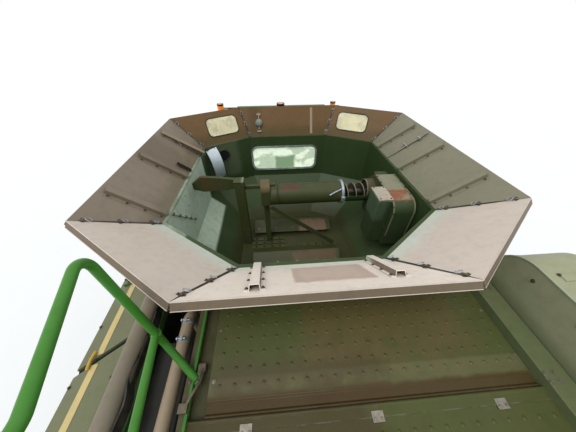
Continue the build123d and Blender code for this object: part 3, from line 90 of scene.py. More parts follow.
class Graph:
    """A material's node tree with short calls for the nodes used here."""

    def __init__(self, name):
        self.material = bpy.data.materials.new(name)
        self.material.use_nodes = True
        self.nodes = self.material.node_tree.nodes
        self.links = self.material.node_tree.links
        self.shader = self.nodes["Principled BSDF"]
        self.place = self.nodes.new("ShaderNodeTexCoord").outputs["Object"]

    def join(self, source, target):
        """Link a node's output to a socket, or set the socket to a plain value."""
        if hasattr(source, "is_output"):
            self.links.new(source, target)
        else:
            target.default_value = source

    def scaled(self, size):
        """The object's own coordinates, stretched along its axes."""
        mapping = self.nodes.new("ShaderNodeMapping")
        self.links.new(self.place, mapping.inputs["Vector"])
        mapping.inputs["Scale"].default_value = size
        return mapping.outputs["Vector"]

    def noise(self, scale, detail=4.0, roughness=0.55, stretch=None):
        """Cloudy values in the object's coordinates, stretched or not."""
        node = self.nodes.new("ShaderNodeTexNoise")
        self.links.new(self.scaled(stretch) if stretch else self.place, node.inputs["Vector"])
        node.inputs["Scale"].default_value = scale
        node.inputs["Detail"].default_value = detail
        node.inputs["Roughness"].default_value = roughness
        return node.outputs["Fac"]

    def maths(self, operation, a, b, c=None):
        """A Math node on sockets or plain values."""
        node = self.nodes.new("ShaderNodeMath")
        node.operation = operation
        self.join(a, node.inputs[0])
        self.join(b, node.inputs[1])
        if c is not None:
            self.join(c, node.inputs[2])
        return node.outputs[0]

    def times(self, a, b):
        """The product a * b."""
        return self.maths("MULTIPLY", a, b)

    def line(self, value, slope, start):
        """The straight line value * slope + start."""
        return self.maths("MULTIPLY_ADD", value, slope, start)

    def ramp(self, value, low, high):
        """0 below low and 1 above high, with a smooth step between."""
        node = self.nodes.new("ShaderNodeMapRange")
        node.interpolation_type = "SMOOTHSTEP"
        self.join(value, node.inputs["Value"])
        node.inputs["From Min"].default_value = low
        node.inputs["From Max"].default_value = high
        return node.outputs["Result"]

    def mix(self, share, a, b):
        """Colour a turning into colour b with the share."""
        node = self.nodes.new("ShaderNodeMix")
        node.data_type = "RGBA"
        self.join(share, node.inputs["Factor"])
        self.join(a if hasattr(a, "is_output") else (*a, 1), node.inputs[6])
        self.join(b if hasattr(b, "is_output") else (*b, 1), node.inputs[7])
        return node.outputs[2]

    def normal_z(self):
        """1 where a face looks up, -1 where it looks down."""
        geometry = self.nodes.new("ShaderNodeNewGeometry")
        split = self.nodes.new("ShaderNodeSeparateXYZ")
        self.links.new(geometry.outputs["Normal"], split.inputs[0])
        return split.outputs["Z"]

    def zone(self, low, high, soft, ragged):
        """A mask that is 1 inside a box, with soft and ragged sides; None leaves a side open."""
        split = self.nodes.new("ShaderNodeSeparateXYZ")
        self.links.new(self.place, split.inputs[0])
        wander = self.times(self.maths("SUBTRACT", self.noise(7, 5, 0.6), 0.5), ragged)
        mask = 1.0
        for axis, near, far in zip("XYZ", low, high):
            value = self.maths("ADD", split.outputs[axis], wander)
            if near is not None:
                mask = self.times(mask, self.ramp(value, near - soft, near + soft))
            if far is not None:
                past = self.ramp(value, far - soft, far + soft)
                mask = self.times(mask, self.maths("SUBTRACT", 1.0, past))
        return mask

    def edges(self, radius):
        """A mask that is 1 along the outer and inner edges."""
        bevel = self.nodes.new("ShaderNodeBevel")
        bevel.samples = 4
        bevel.inputs["Radius"].default_value = radius
        geometry = self.nodes.new("ShaderNodeNewGeometry")
        dot = self.nodes.new("ShaderNodeVectorMath")
        dot.operation = "DOT_PRODUCT"
        self.links.new(bevel.outputs["Normal"], dot.inputs[0])
        self.links.new(geometry.outputs["Normal"], dot.inputs[1])
        return self.ramp(self.maths("SUBTRACT", 1.0, dot.outputs["Value"]), 0.02, 0.25)

    def bump(self, height, strength, distance):
        """Fine relief of the surface from a height."""
        node = self.nodes.new("ShaderNodeBump")
        node.inputs["Strength"].default_value = strength
        node.inputs["Distance"].default_value = distance
        self.links.new(height, node.inputs["Height"])
        self.links.new(node.outputs["Normal"], self.shader.inputs["Normal"])

    def set(self, **sockets):
        """Set or link the shader's sockets by name and return the material."""
        for name, value in sockets.items():
            if name == "Base_Color" and not hasattr(value, "is_output"):
                value = (*value, 1)
            self.join(value, self.shader.inputs[name.replace("_", " ")])
        return self.material


def paint(name, colour, dust=0.4, wear=0.3, rust=0.2, roughness=0.45, dust_colour=DUST, under=None, zones=()):
    """Weathered machine paint: faded patches, streaks, dust on what faces up, chips, rust and zones, one of
    them painted light.

    under is the colour of faces that look down. A zone is (colour, share, low corner, high corner,
    softness, raggedness) in the object's coordinates.
    """
    g = Graph(name)
    faded = tuple(min(1, 1.1 * c + 0.012) for c in colour)
    broad = g.ramp(g.noise(1.3, 5), 0.35, 0.7)
    body = g.mix(g.times(broad, 0.5), colour, faded)
    if under:
        facing_down = g.maths("SUBTRACT", 1.0, g.ramp(g.normal_z(), 0.25, 0.4))
        body = g.mix(facing_down, body, under)
    for tint, share, low, high, soft, ragged in zones:
        area = g.times(g.zone(low, high, soft, ragged), share)
        body = g.mix(area, body, tint)
    mottle = g.ramp(g.noise(18, 7, 0.7), 0.42, 0.75)
    body = g.mix(g.times(mottle, 0.22), body, tuple(0.45 * c for c in colour))
    streak = g.ramp(g.noise(9, 4, 0.6, stretch=(1.0, 1.0, 0.12)), 0.5, 0.78)
    body = g.mix(g.times(streak, 0.25 * dust + 0.12), body, tuple(0.55 * c for c in colour))
    facing = g.ramp(g.normal_z(), -0.2, 0.95)
    grains = g.ramp(g.noise(3.2, 8, 0.68), 0.35, 0.75)
    specks = g.ramp(g.noise(95, 3, 0.7), 0.60, 0.72)
    settled = g.line(facing, 0.8, 0.2)
    layer = g.times(settled, g.line(grains, 0.85, 0.15))
    layer = g.times(g.maths("MAXIMUM", layer, g.times(specks, facing)), dust)
    body = g.mix(layer, body, dust_colour)
    chips = g.ramp(g.noise(26, 6, 0.7), 0.66 - 0.10 * rust, 0.72)
    chips = g.times(chips, g.ramp(g.noise(2.1, 3), 0.5, 0.65))
    chips = g.times(chips, min(1.0, 1.4 * rust))
    body = g.mix(chips, body, RUST)
    edge = g.times(g.edges(0.006), g.ramp(g.noise(14, 5, 0.7), 0.42, 0.62))
    body = g.mix(g.times(edge, wear), body, BARE_STEEL)
    rough = g.line(layer, 0.45, roughness)
    rough = g.maths("MINIMUM", g.line(chips, 0.3, rough), 0.95)
    g.bump(g.maths("ADD", g.noise(60, 3, 0.6), g.times(chips, -1.5)), 0.15, 0.0015)
    return g.set(Base_Color=body, Roughness=rough, Specular_IOR_Level=0.22)


def metal(name, colour, roughness=0.35, rust=0.3, dust=0.2):
    """Bare or galvanised metal with spangle, scratches, rust spots and a little dust."""
    g = Graph(name)
    spangle = g.ramp(g.noise(45, 2, 0.5), 0.4, 0.6)
    body = g.mix(spangle, colour, tuple(0.78 * c for c in colour))
    body = g.mix(g.times(g.ramp(g.noise(12, 6, 0.7), 0.55, 0.7), rust), body, RUST)
    layer = g.times(g.ramp(g.noise(4, 6, 0.6), 0.4, 0.7), dust)
    body = g.mix(layer, body, DUST)
    scratch = g.noise(30, 4, 0.6, stretch=(1.0, 8.0, 8.0))
    rough = g.line(scratch, 0.25, roughness)
    g.bump(scratch, 0.08, 0.001)
    return g.set(Base_Color=body, Roughness=rough, Metallic=0.75)


def glazing(name, colour, clear, dust=0.25):
    """Window glass or plastic with grime that gathers in patches and in fine specks."""
    g = Graph(name)
    grime = g.times(g.ramp(g.noise(5, 7, 0.7), 0.4, 0.75), dust)
    fine = g.times(g.ramp(g.noise(60, 3, 0.6), 0.55, 0.7), 0.5 * dust)
    grime = g.maths("MAXIMUM", grime, fine)
    rough = g.line(grime, 0.7, 0.06)
    see = g.line(grime, -0.8 * clear, clear)
    g.bump(g.noise(14, 3), 0.05, 0.001)
    return g.set(Base_Color=g.mix(grime, colour, DUST), Roughness=rough, Transmission_Weight=see, IOR=1.12)


def rubber(name, colour, dust):
    """Moulded rubber: fine pits, pale dust in patches and a worn grey sheen."""
    g = Graph(name)
    worn = g.mix(g.ramp(g.noise(6, 6, 0.65), 0.4, 0.7), colour, tuple(2.2 * c + 0.01 for c in colour))
    caked = g.times(g.ramp(g.noise(9, 8, 0.7), 0.42, 0.66), dust)
    body = g.mix(caked, worn, DUST)
    g.bump(g.noise(130, 3, 0.6), 0.25, 0.001)
    return g.set(Base_Color=body, Roughness=g.line(caked, 0.2, 0.7), Specular_IOR_Level=0.25)


def fabric(name, colour):
    """Woven seat cloth: crossed ribs of thread, pilling and a soft sheen."""
    g = Graph(name)
    threads = []
    for direction in ("X", "Y"):
        wave = g.nodes.new("ShaderNodeTexWave")
        wave.bands_direction = direction
        wave.inputs["Scale"].default_value = 90
        wave.inputs["Distortion"].default_value = 1.2
        g.links.new(g.place, wave.inputs["Vector"])
        threads.append(wave.outputs["Fac"])
    weave = g.times(threads[0], threads[1])
    body = g.mix(g.ramp(g.noise(5, 5), 0.35, 0.7), colour, tuple(1.5 * c + 0.01 for c in colour))
    body = g.mix(g.times(weave, 0.4), body, tuple(2.2 * c + 0.02 for c in colour))
    g.bump(weave, 0.4, 0.0015)
    return g.set(Base_Color=body, Roughness=0.92, Sheen_Weight=0.35, Sheen_Roughness=0.5)


def lens(name, colour, glow):
    """Ribbed lamp lens with a reflector's sparkle behind it, painted as a darker cell pattern in its colour.
    """
    g = Graph(name)
    cells = g.nodes.new("ShaderNodeTexVoronoi")
    cells.inputs["Scale"].default_value = 110
    g.links.new(g.place, cells.inputs["Vector"])
    # Painted reflection: the cells' darker rims stand for the reflector's sparkle.
    body = g.mix(g.ramp(cells.outputs["Distance"], 0.1, 0.8), colour, tuple(0.5 * c for c in colour))
    body = g.mix(g.times(g.ramp(g.noise(20, 5), 0.5, 0.7), 0.35), body, DUST)
    g.bump(cells.outputs["Distance"], 0.5, 0.002)
    return g.set(Base_Color=body, Roughness=0.18, Coat_Weight=0.6, Emission_Color=(*colour, 1),
                 Emission_Strength=glow)


def daylight(name, colour):
    """Tank window with painted daylight from the cab behind it: a bright glow, with soft green patches of
    painted shade, the seat's among them, and grime.
    """
    g = Graph(name)
    # Painted light: the window glows with the daylight behind it; the green patches and the seat zone are
    # painted shade in that glow.
    glow_shade_shapes = g.ramp(g.noise(5.5, 2, 0.4, stretch=(1.0, 1.0, 1.6)), 0.50, 0.58)
    seat = g.zone((-0.22, None, 2.80), (0.10, None, 3.12), 0.03, 0.08)
    shade = g.maths("MAXIMUM", g.times(glow_shade_shapes, 0.45), g.times(seat, 0.85))
    light = g.mix(shade, colour, srgb(84, 122, 78))
    grime = g.times(g.ramp(g.noise(16, 6, 0.7), 0.45, 0.75), 0.35)
    body = g.mix(grime, light, DUST)
    return g.set(Base_Color=body, Roughness=g.line(grime, 0.7, 0.08), Emission_Color=body,
                 Emission_Strength=0.62)


OPEN = (None, None, None)
TAUPE = srgb(122, 108, 92)
DECK_OLIVE = srgb(70, 76, 36)
DECK_DUST = srgb(124, 106, 74)
TANK_DUST = srgb(104, 92, 62)
MATERIALS = {
    "green": paint("green_paint", srgb(48, 92, 40), dust=0.35, wear=0.35),
    "bright_green": paint("handrail_green", srgb(62, 126, 42), dust=0.08, rust=0.12, roughness=0.35),
    "dark_green": paint("dark_green_paint", srgb(58, 62, 34), dust=0.3),
    "deck": paint("deck_olive", DECK_OLIVE, dust=0.10, wear=0.5, rust=0.1, dust_colour=DECK_DUST, zones=(
        (srgb(96, 76, 46), 0.5, (-0.10, -1.45, 3.2), (0.90, -0.95, None), 0.10, 0.6),
        (srgb(104, 100, 70), 0.5, (None, -1.56, 3.2), (None, -1.46, None), 0.008, 0.02),
        (srgb(70, 48, 26), 0.75, (None, -1.635, 3.2), (None, -1.545, None), 0.012, 0.05),
        (srgb(150, 142, 112), 0.7, (None, -1.655, 3.2), (None, -1.628, None), 0.004, 0.02),
        (srgb(66, 46, 26), 0.55, (-0.70, -1.62, 3.2), (0.30, -1.38, None), 0.10, 0.5),
        (srgb(34, 40, 18), 0.85, OPEN, (-0.668, None, 3.27), 0.01, 0.0),
        (srgb(92, 92, 60), 0.5, (1.118, None, 3.2), OPEN, 0.004, 0.0))),
    "cover": paint("rear_cover_olive", DECK_OLIVE,
                   dust=0.10, wear=0.5, rust=0.1, dust_colour=DECK_DUST, zones=(
        (srgb(60, 42, 24), 0.6, (None, -1.80, None), (0.2, None, None), 0.06, 0.3),)),
    "tank": paint("tank_green", srgb(50, 68, 36), dust=0.12, rust=0.1, dust_colour=TANK_DUST, zones=(
        # Painted light: the first zone makes the left inner wall pale, as bright as a lit wall.
        (srgb(200, 216, 194), 1.0, (None, None, 2.60), (-1.00, 0.95, 3.425), 0.02, 0.02),
        (srgb(92, 104, 78), 0.7, (-1.25, 1.16, 2.9), (-0.75, None, 3.45), 0.05, 0.1),
        (srgb(58, 50, 26), 0.6, OPEN, (None, None, 2.42), 0.05, 0.1))),
    "front_panel": paint("brown_front_sheet", srgb(104, 78, 46), dust=0.06, rust=0.25, under=TAUPE, zones=(
        (srgb(76, 66, 34), 0.7, OPEN, (None, None, 3.55), 0.06, 0.10),
        (srgb(66, 52, 30), 0.5, (-0.56, None, 3.5), (-0.40, None, None), 0.08, 0.10))),
    "side_panel": paint("taupe_side_sheet", srgb(130, 118, 102), dust=0.15, wear=0.35, rust=0.15, under=TAUPE,
                        dust_colour=srgb(160, 146, 128), zones=(
        (srgb(100, 92, 70), 0.6, OPEN, (None, None, 3.52), 0.06, 0.12),
        (srgb(124, 128, 104), 0.6, (0, None, None), OPEN, 0.02, 0.0),
        (srgb(92, 78, 58), 0.55, (None, 0.35, None), (-1.2, 0.80, None), 0.12, 0.3))),
    "rear_panel": paint("pale_rear_sheet", srgb(236, 222, 208), dust=0.15, wear=0.2, rust=0.04, under=TAUPE,
                        dust_colour=srgb(200, 178, 160), zones=(
        (srgb(206, 214, 198), 0.7, OPEN, (None, None, 3.52), 0.05, 0.12),
        (srgb(178, 148, 132), 0.75, (-0.17, None, 3.50), (0.30, None, 3.70), 0.012, 0.05),
        (srgb(204, 186, 172), 0.6, (-0.12, None, 3.53), (0.24, None, 3.66), 0.03, 0.20))),
    "rear_corner": paint("pale_corner_sheet", srgb(204, 190, 176), dust=0.15, wear=0.2, rust=0.04,
                         under=TAUPE, dust_colour=srgb(196, 178, 160), zones=(
        (srgb(198, 210, 196), 0.7, OPEN, (None, None, 3.50), 0.05, 0.12),)),
    "shield": paint("shield_grey_olive", srgb(104, 108, 78), dust=0.12, rust=0.1),
    "flank": paint("flank_taupe", srgb(122, 114, 98), dust=0.2, zones=(
        (srgb(40, 44, 26), 0.9, OPEN, (None, None, 3.13), 0.01, 0.0),)),
    # The pale grey-green base colour is partly the housing's own colour and partly painted sheen on its top;
    # the first zone paints the lower outer sides green.
    "housing": paint("housing_green_and_sheen", srgb(150, 152, 120), dust=0.12, wear=0.4, rust=0.06, zones=(
        (srgb(48, 92, 40), 0.9, (1.33, None, None), (None, None, 3.38), 0.02, 0.0),
        (srgb(96, 104, 72), 0.6, OPEN, (1.34, None, 3.42), 0.05, 0.05))),
    "edge": paint("pale_green_edge", srgb(150, 160, 132), dust=0.1, wear=0.6, rust=0.05),
    "lip": paint("taupe_rim_lip", srgb(104, 90, 72), dust=0.1, wear=0.5, rust=0.1,
                 dust_colour=srgb(150, 136, 118)),
    "cowl": paint("galvanised_cowl", srgb(196, 208, 214), dust=0.1, rust=0.05, roughness=0.3),
    "flange": paint("olive_flange_edge", srgb(112, 112, 84), dust=0.1, wear=0.5, rust=0.2),
    "pipe": paint("pipe_taupe", srgb(150, 134, 112), dust=0.2, wear=0.5, rust=0.3),
    "covers": paint("auger_cover_olive", srgb(58, 62, 30), dust=0.12, rust=0.1, dust_colour=TANK_DUST, zones=(
        (srgb(96, 76, 54), 0.85, (-0.05, -0.09, 2.36), (0.53, 0.085, 2.56), 0.02, 0.12),
        (srgb(132, 104, 84), 0.8, (0.10, 0.54, 2.36), (0.50, 0.70, 2.56), 0.02, 0.12),
        (srgb(94, 88, 56), 0.8, (-0.65, 0.12, 2.30), (0.75, 0.31, 2.345), 0.01, 0.0),
        (srgb(120, 84, 64), 0.7, (-0.35, 0.23, 2.30), (-0.10, 0.30, 2.345), 0.02, 0.1))),
    "tube": paint("auger_tube_olive", srgb(60, 66, 36), dust=0.15, rust=0.15, dust_colour=TANK_DUST, zones=(
        (srgb(84, 52, 44), 0.75, (-0.16, None, 3.245), (0.05, None, None), 0.012, 0.06),
        (srgb(170, 168, 156), 0.6, (-0.62, None, 3.36), (-0.60, None, None), 0.02, 0.0),
        (srgb(110, 92, 60), 0.6, (-0.42, None, 3.25), (-0.29, None, None), 0.02, 0.05),
        (srgb(92, 52, 34), 0.55, (-1.12, None, 3.27), (-0.85, 0.47, 3.42), 0.015, 0.25))),
    "elevator": paint("elevator_green", srgb(52, 68, 40), dust=0.10, dust_colour=TANK_DUST, zones=(
        (srgb(140, 138, 116), 0.85, (None, None, 3.372), OPEN, 0.004, 0.0),
        (srgb(138, 76, 50), 0.9, (0.93, -0.15, 3.37), (1.20, 0.12, None), 0.015, 0.16),
        (srgb(184, 172, 156), 0.85, (0.79, -0.10, 3.39), (0.955, 0.17, None), 0.004, 0.0),
        (srgb(88, 106, 84), 0.6, (0.78, -0.10, 3.12), (0.90, 0.17, 3.39), 0.02, 0.05),
        (srgb(84, 74, 52), 0.7, (0.78, 0.30, 3.16), (1.04, None, 3.36), 0.01, 0.05))),
    "housing_beam": paint("beam_olive", srgb(92, 102, 68), dust=0.14, wear=0.5, rust=0.08),
    "yellow": paint("rim_yellow", srgb(196, 160, 60), dust=0.35),
    "stripe": paint("stripe_tan", srgb(196, 176, 118), dust=0.1, wear=0.1, rust=0.0),
    "black": paint("black_paint", srgb(26, 28, 26), dust=0.06, rust=0.0, roughness=0.2),
    "dark_steel": paint("dark_steel", srgb(46, 44, 38), dust=0.25),
    # Painted shade: near-black for holes, slots and the gap under the top shields.
    "shadow": paint("painted_shadow_black", srgb(14, 14, 10), dust=0.03, wear=0.0, rust=0.0, roughness=0.8),
    "engine": paint("engine_grey", srgb(96, 100, 92), dust=0.4),
    "steel": metal("worn_steel", srgb(150, 144, 132)),
    "bright": metal("galvanised_steel", srgb(176, 186, 194), roughness=0.4, rust=0.08, dust=0.12),
    "bolt": metal("bolt_steel", srgb(104, 98, 84), rust=0.5, dust=0.3),
    "tyre": rubber("tyre_rubber", (0.014, 0.013, 0.012), 0.55),
    "seal": rubber("seal_rubber", (0.02, 0.02, 0.018), 0.2),
    "pale_seal": rubber("dusty_seal", srgb(112, 124, 116), 0.3),
    "glass": glazing("window_glass", srgb(214, 226, 214), 0.92),
    "plastic": glazing("yellowed_plastic", srgb(240, 234, 196), 0.30, dust=0.75),
    "daylight": daylight("daylit_window", srgb(226, 240, 218)),
    "cloth": fabric("seat_cloth", srgb(52, 54, 56)),
    "amber": lens("amber_lens", srgb(236, 130, 30), 0.35),
    "white_lens": lens("clear_lens", srgb(220, 222, 210), 0.05),
    "red_lens": lens("red_lens", srgb(150, 20, 16), 0.05),
}

# Which nodes wear a material; the nodes that come in sets are found by a part of their name
FINISH_NODES = {
    "green": ("separator_body", "straw_hood", "auger_turret", "unloading_auger", "cab_frame", "cab_roof",
              "cab_door", "operator_platform", "front_ladder", "feeder_house"),
    "dark_green": ("chassis_frame", "lift_barrels", "rear_axle"),
    "bright_green": ("deck_handrail", "rear_ladder"),
    "steel": ("chopper_rotor", "lift_rods", "tie_rod"),
    "black": ("well_tank", "steering_console", "lamps", "mirrors"),
    "glass": ("cab_glass", "cab_door_glass"),
    "front_panel": ("extension_front", "extension_front_corners"),
    "side_panel": ("extension_sides",),
    "rear_corner": ("extension_rear_corners",),
    "rear_panel": ("extension_rear",),
    "plastic": ("extension_windows",),
    "daylight": ("tank_window",),
    "tank": ("grain_tank",),
    "covers": ("auger_covers",),
    "tube": ("tank_cross_tube",),
    "elevator": ("loading_auger",),
    "deck": ("engine_deck",),
    "cover": ("rear_cover",),
    "engine": ("engine_block",),
    "housing": ("cooling_housing",),
    "dark_steel": ("rotary_screen",),
    "flank": ("flank_frames",),
    "shield": ("top_shields",),
    "pipe": ("side_pipe",),
    "cloth": ("operator_seat",),
    "bright": ("exhaust_stack",),
}
SET_FINISH = {"side_shield": "green", "_rim_": "yellow", "_tyre_": "tyre", "_knuckle_": "dark_green"}

NODE_FINISH = {node: finish for finish, nodes in FINISH_NODES.items() for node in nodes}
for node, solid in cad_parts.items():
    finish = NODE_FINISH.get(node) or next(finish for part, finish in SET_FINISH.items() if part in node)
    solid.data.materials.clear()
    solid.data.materials.append(MATERIALS[finish])


# Mesh building

def frame_of(origin, x_axis, y_axis, z_axis):
    """A frame at origin with the given axes."""
    return Matrix.Translation(origin) @ Matrix((x_axis, y_axis, z_axis)).transposed().to_4x4()


def frame_at(origin, z_axis=(0, 0, 1), x_axis=(1, 0, 0)):
    """A frame at origin with Z along z_axis and X as near x_axis as can be."""
    z = Vector(z_axis).normalized()
    y = z.cross(Vector(x_axis)).normalized()
    return frame_of(origin, y.cross(z), y, z)


def mirrored(matrix, side):
    """The frame itself on the right side, and its mirror image on the left side."""
    return Matrix.Diagonal((side, 1, 1, 1)) @ matrix


# Frames that turn an outline: its axes and then its height run along Y, Z and X, or along X, Z and Y
ACROSS = Matrix(((0, 0, 1, 0), (1, 0, 0, 0), (0, 1, 0, 0), (0, 0, 0, 1)))
ALONG = Matrix(((1, 0, 0, 0), (0, 0, 1, 0), (0, 1, 0, 0), (0, 0, 0, 1)))
UPRIGHT = Matrix()


def skin(bm, rings, closed=False):
    """Faces from each ring of vertices to the next, and back to the first one or over both ends."""
    pairs = list(zip(rings, rings[1:]))
    if closed:
        pairs.append((rings[-1], rings[0]))
    else:
        bm.faces.new(rings[0][::-1])
        bm.faces.new(rings[-1])
    for a, b in pairs:
        for i in range(len(a)):
            j = (i + 1) % len(a)
            bm.faces.new((a[i], a[j], b[j], b[i]))


def prism(bm, outline, low, high, matrix=UPRIGHT, shear=(0, 0)):
    """A solid from a flat outline between two heights of the frame, its ends sheared along the first axis."""
    skin(bm, [[bm.verts.new(matrix @ Vector((x, y, z + lean * x))) for x, y in outline]
              for z, lean in ((low, shear[0]), (high, shear[1]))])


def box(bm, x, y, z, matrix=UPRIGHT):
    """A box of the frame from its ranges of X, Y and Z."""
    prism(bm, ((x[0], y[0]), (x[1], y[0]), (x[1], y[1]), (x[0], y[1])), z[0], z[1], matrix)


def lathe(bm, profile, matrix=UPRIGHT, steps=24):
    """A body turned about Z of the frame from (radius, height) points; radius 0 closes an end."""
    rings = []
    for radius, height in profile:
        count = 1 if radius == 0 else steps
        angles = (2 * math.pi * i / steps for i in range(count))
        rings.append([bm.verts.new(matrix @ Vector((radius * math.cos(a), radius * math.sin(a), height)))
                      for a in angles])
    for a, b in zip(rings, rings[1:]):
        for i in range(steps):
            j = (i + 1) % steps
            if len(a) == 1 and len(b) > 1:
                bm.faces.new((a[0], b[i], b[j]))
            elif len(b) == 1 and len(a) > 1:
                bm.faces.new((a[i], a[j], b[0]))
            elif len(a) > 1:
                bm.faces.new((a[i], a[j], b[j], b[i]))


def disc_profile(radius, low, high, rim=0.003):
    """Lathe points of a disc or rod with broken edges."""
    return ((0, low), (radius - rim, low), (radius, low + rim), (radius, high - rim), (radius - rim, high),
            (0, high))


def sweep(bm, points, section, closed=False, turn=None):
    """A section of (side, up) points carried along a path; turn gives the path's up direction."""
    points = [Vector(p) for p in points]
    count = len(points)
    rings = []
    up = Vector(turn) if turn else Vector((0, 0, 1))
    for i, point in enumerate(points):
        before = points[i - 1] if (i or closed) else point
        after = points[(i + 1) % count] if (i < count - 1 or closed) else point
        run = (after - before).normalized()
        if abs(run.dot(up)) > 0.98:
            up = Vector((0, 1, 0)) if abs(run.y) < 0.9 else Vector((1, 0, 0))
        side = run.cross(up).normalized()
        lift = side.cross(run)
        if not turn:
            up = lift
        rings.append([bm.verts.new(point + side * a + lift * b) for a, b in section])
    skin(bm, rings, closed)


def circle(radius, count):
    """Points (a, b) of a round section."""
    angles = [2 * math.pi * i / count for i in range(count)]
    return [(radius * math.cos(a), radius * math.sin(a)) for a in angles]


def band(width, height):
    """Points (a, b) of a flat bar's section."""
    w, h = width / 2, height / 2
    return ((-w, -h), (w, -h), (w, h), (-w, h))


def arc(centre, radius, start, end, count):
    """Points (a, b) of an arc between two angles in degrees."""
    angles = [math.radians(start + (end - start) * i / (count - 1)) for i in range(count)]
    return [(centre[0] + radius * math.cos(a), centre[1] + radius * math.sin(a)) for a in angles]


def rounded(low, high, radius, grow, count):
    """Points (a, b) round a rectangle with rounded corners, a little outside it."""
    points = []
    for a, b, start in ((high[0] - radius, high[1] - radius, 0), (low[0] + radius, high[1] - radius, 90),
                        (low[0] + radius, low[1] + radius, 180), (high[0] - radius, low[1] + radius, 270)):
        points += arc((a, b), radius + grow, start, start + 90, count)
    return points


def hoop(bm, place, radius, section, steps, height=0.0, turn=None):
    """A closed ring about Z of a frame."""
    loop = [place @ Vector((a, b, height)) for a, b in circle(radius, steps)]
    sweep(bm, loop, section, closed=True, turn=turn)


def bolt(bm, origin, normal=(0, 0, 1), size=0.009, matrix=UPRIGHT):
    """A hexagon bolt head on its washer, standing on a surface."""
    hint = (1, 0, 0) if abs(Vector(normal).normalized().x) < 0.9 else (0, 1, 0)
    place = matrix @ frame_at(origin, normal, hint)
    lathe(bm, ((0, -0.002), (1.5 * size, -0.002), (1.5 * size, 0.0025), (0, 0.0025)), place, 12)
    prism(bm, circle(size, 6), 0.0025, 0.0025 + 0.75 * size, place)
    shank, top = 0.45 * size, 0.0025 + 1.1 * size
    lathe(bm, ((0, 0), (shank, 0), (shank, top), (0, top)), place, 8)


def piece(name, bm, material, body="machine", bevel=0.0, smooth=35, replaces=()):
    """Turn a bmesh into a shaded piece that rides on a body and may replace nodes."""
    bmesh.ops.recalc_face_normals(bm, faces=bm.faces)
    mesh = bpy.data.meshes.new(name)
    bm.to_mesh(mesh)
    bm.free()
    for polygon in mesh.polygons:
        polygon.use_smooth = True
    mesh.set_sharp_from_angle(angle=math.radians(smooth))
    mesh.materials.append(MATERIALS[material])
    item = bpy.data.objects.new(name, mesh)
    bpy.context.collection.objects.link(item)
    if bevel:
        modifier = item.modifiers.new("edges", "BEVEL")
        modifier.width = bevel
        modifier.segments = 2
        modifier.limit_method = "ANGLE"
        modifier.angle_limit = math.radians(40)
    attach(item, body)
    if replaces:
        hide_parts(*replaces)
    return item


# Extension panels

def panel(base_a, base_b, rim_a, rim_b):
    """Frame and outline of a panel on the tank's rim: X along its base, Y up its slope, Z out of the tank."""
    a, b = Vector((*base_a, TANK_RIM_Z)), Vector((*base_b, TANK_RIM_Z))
    c, d = Vector((*rim_a, RIM_Z)), Vector((*rim_b, RIM_Z))
    run = (b - a).normalized()
    rise = (c - a) - run * (c - a).dot(run)
    up = rise.normalized()
    outline = ((0, 0), ((b - a).length, 0), ((d - a).dot(run), rise.length), ((c - a).dot(run), rise.length))
    return frame_of(a, run, up, run.cross(up)), outline


FRONT_PANEL = panel(TANK_CORNERS[0], (-TANK_CORNERS[0][0], TANK_CORNERS[0][1]), RIM_CORNERS[0],
                    (-RIM_CORNERS[0][0], RIM_CORNERS[0][1]))
SIDE_PANEL = panel(TANK_CORNERS[2], TANK_CORNERS[1], RIM_CORNERS[2], RIM_CORNERS[1])
REAR_PANEL = panel((-TANK_CORNERS[3][0], TANK_CORNERS[3][1]), TANK_CORNERS[3],
                   (-RIM_CORNERS[3][0], RIM_CORNERS[3][1]), RIM_CORNERS[3])
REAR_CORNER_PANEL = panel(TANK_CORNERS[3], TANK_CORNERS[2], RIM_CORNERS[3], RIM_CORNERS[2])
RIM_LIP = 0.046
LIP_SHEET = 0.012
HAT = ((-0.056, 0.000), (-0.056, -0.003), (-0.031, -0.003), (-0.026, -0.035), (0.026, -0.035),
       (0.031, -0.003), (0.056, -0.003), (0.056, 0.000), (0.028, 0.000), (0.023, -0.031), (-0.023, -0.031),
       (-0.028, 0.000))


def hat_rib(bm, bolts, matrix, foot, head):
    """A pressed hat rib between two points (x, y) of a panel's inner face, bolted through its flanges."""
    start, end = Vector((*foot, 0)), Vector((*head, 0))
    run = (end - start).normalized()
    place = matrix @ frame_of(start, run.cross(Vector((0, 0, 1))), (0, 0, 1), run)
    length = (end - start).length
    prism(bm, HAT, 0.0, length, place)
    for step in range(4):
        for side in (-1, 1):
            height = 0.03 + (length - 0.06) * step / 3
            bolt(bolts, (side * RIB_BOLT_OFFSET, -0.003, height), (0, -1, 0), 0.007, place)


def panel_sheet(bm, lip, hem, matrix, outline):
    """A panel's flat sheet, and the folded lip along its rim with a pale hem as further meshes."""
    prism(bm, outline, 0.0, PANEL_SHEET, matrix)
    (left, height), (right, _) = outline[3], outline[2]
    box(lip, (left, right), (height - LIP_SHEET, height + 0.001), (PANEL_SHEET * 0.6, RIM_LIP), matrix)
    box(hem, (left, right), (height - 0.024, height + 0.001), (RIM_LIP, RIM_LIP + 0.004), matrix)
    box(hem, (left, right), (height - 0.001, height + 0.0015), (-0.001, PANEL_SHEET * 0.6), matrix)


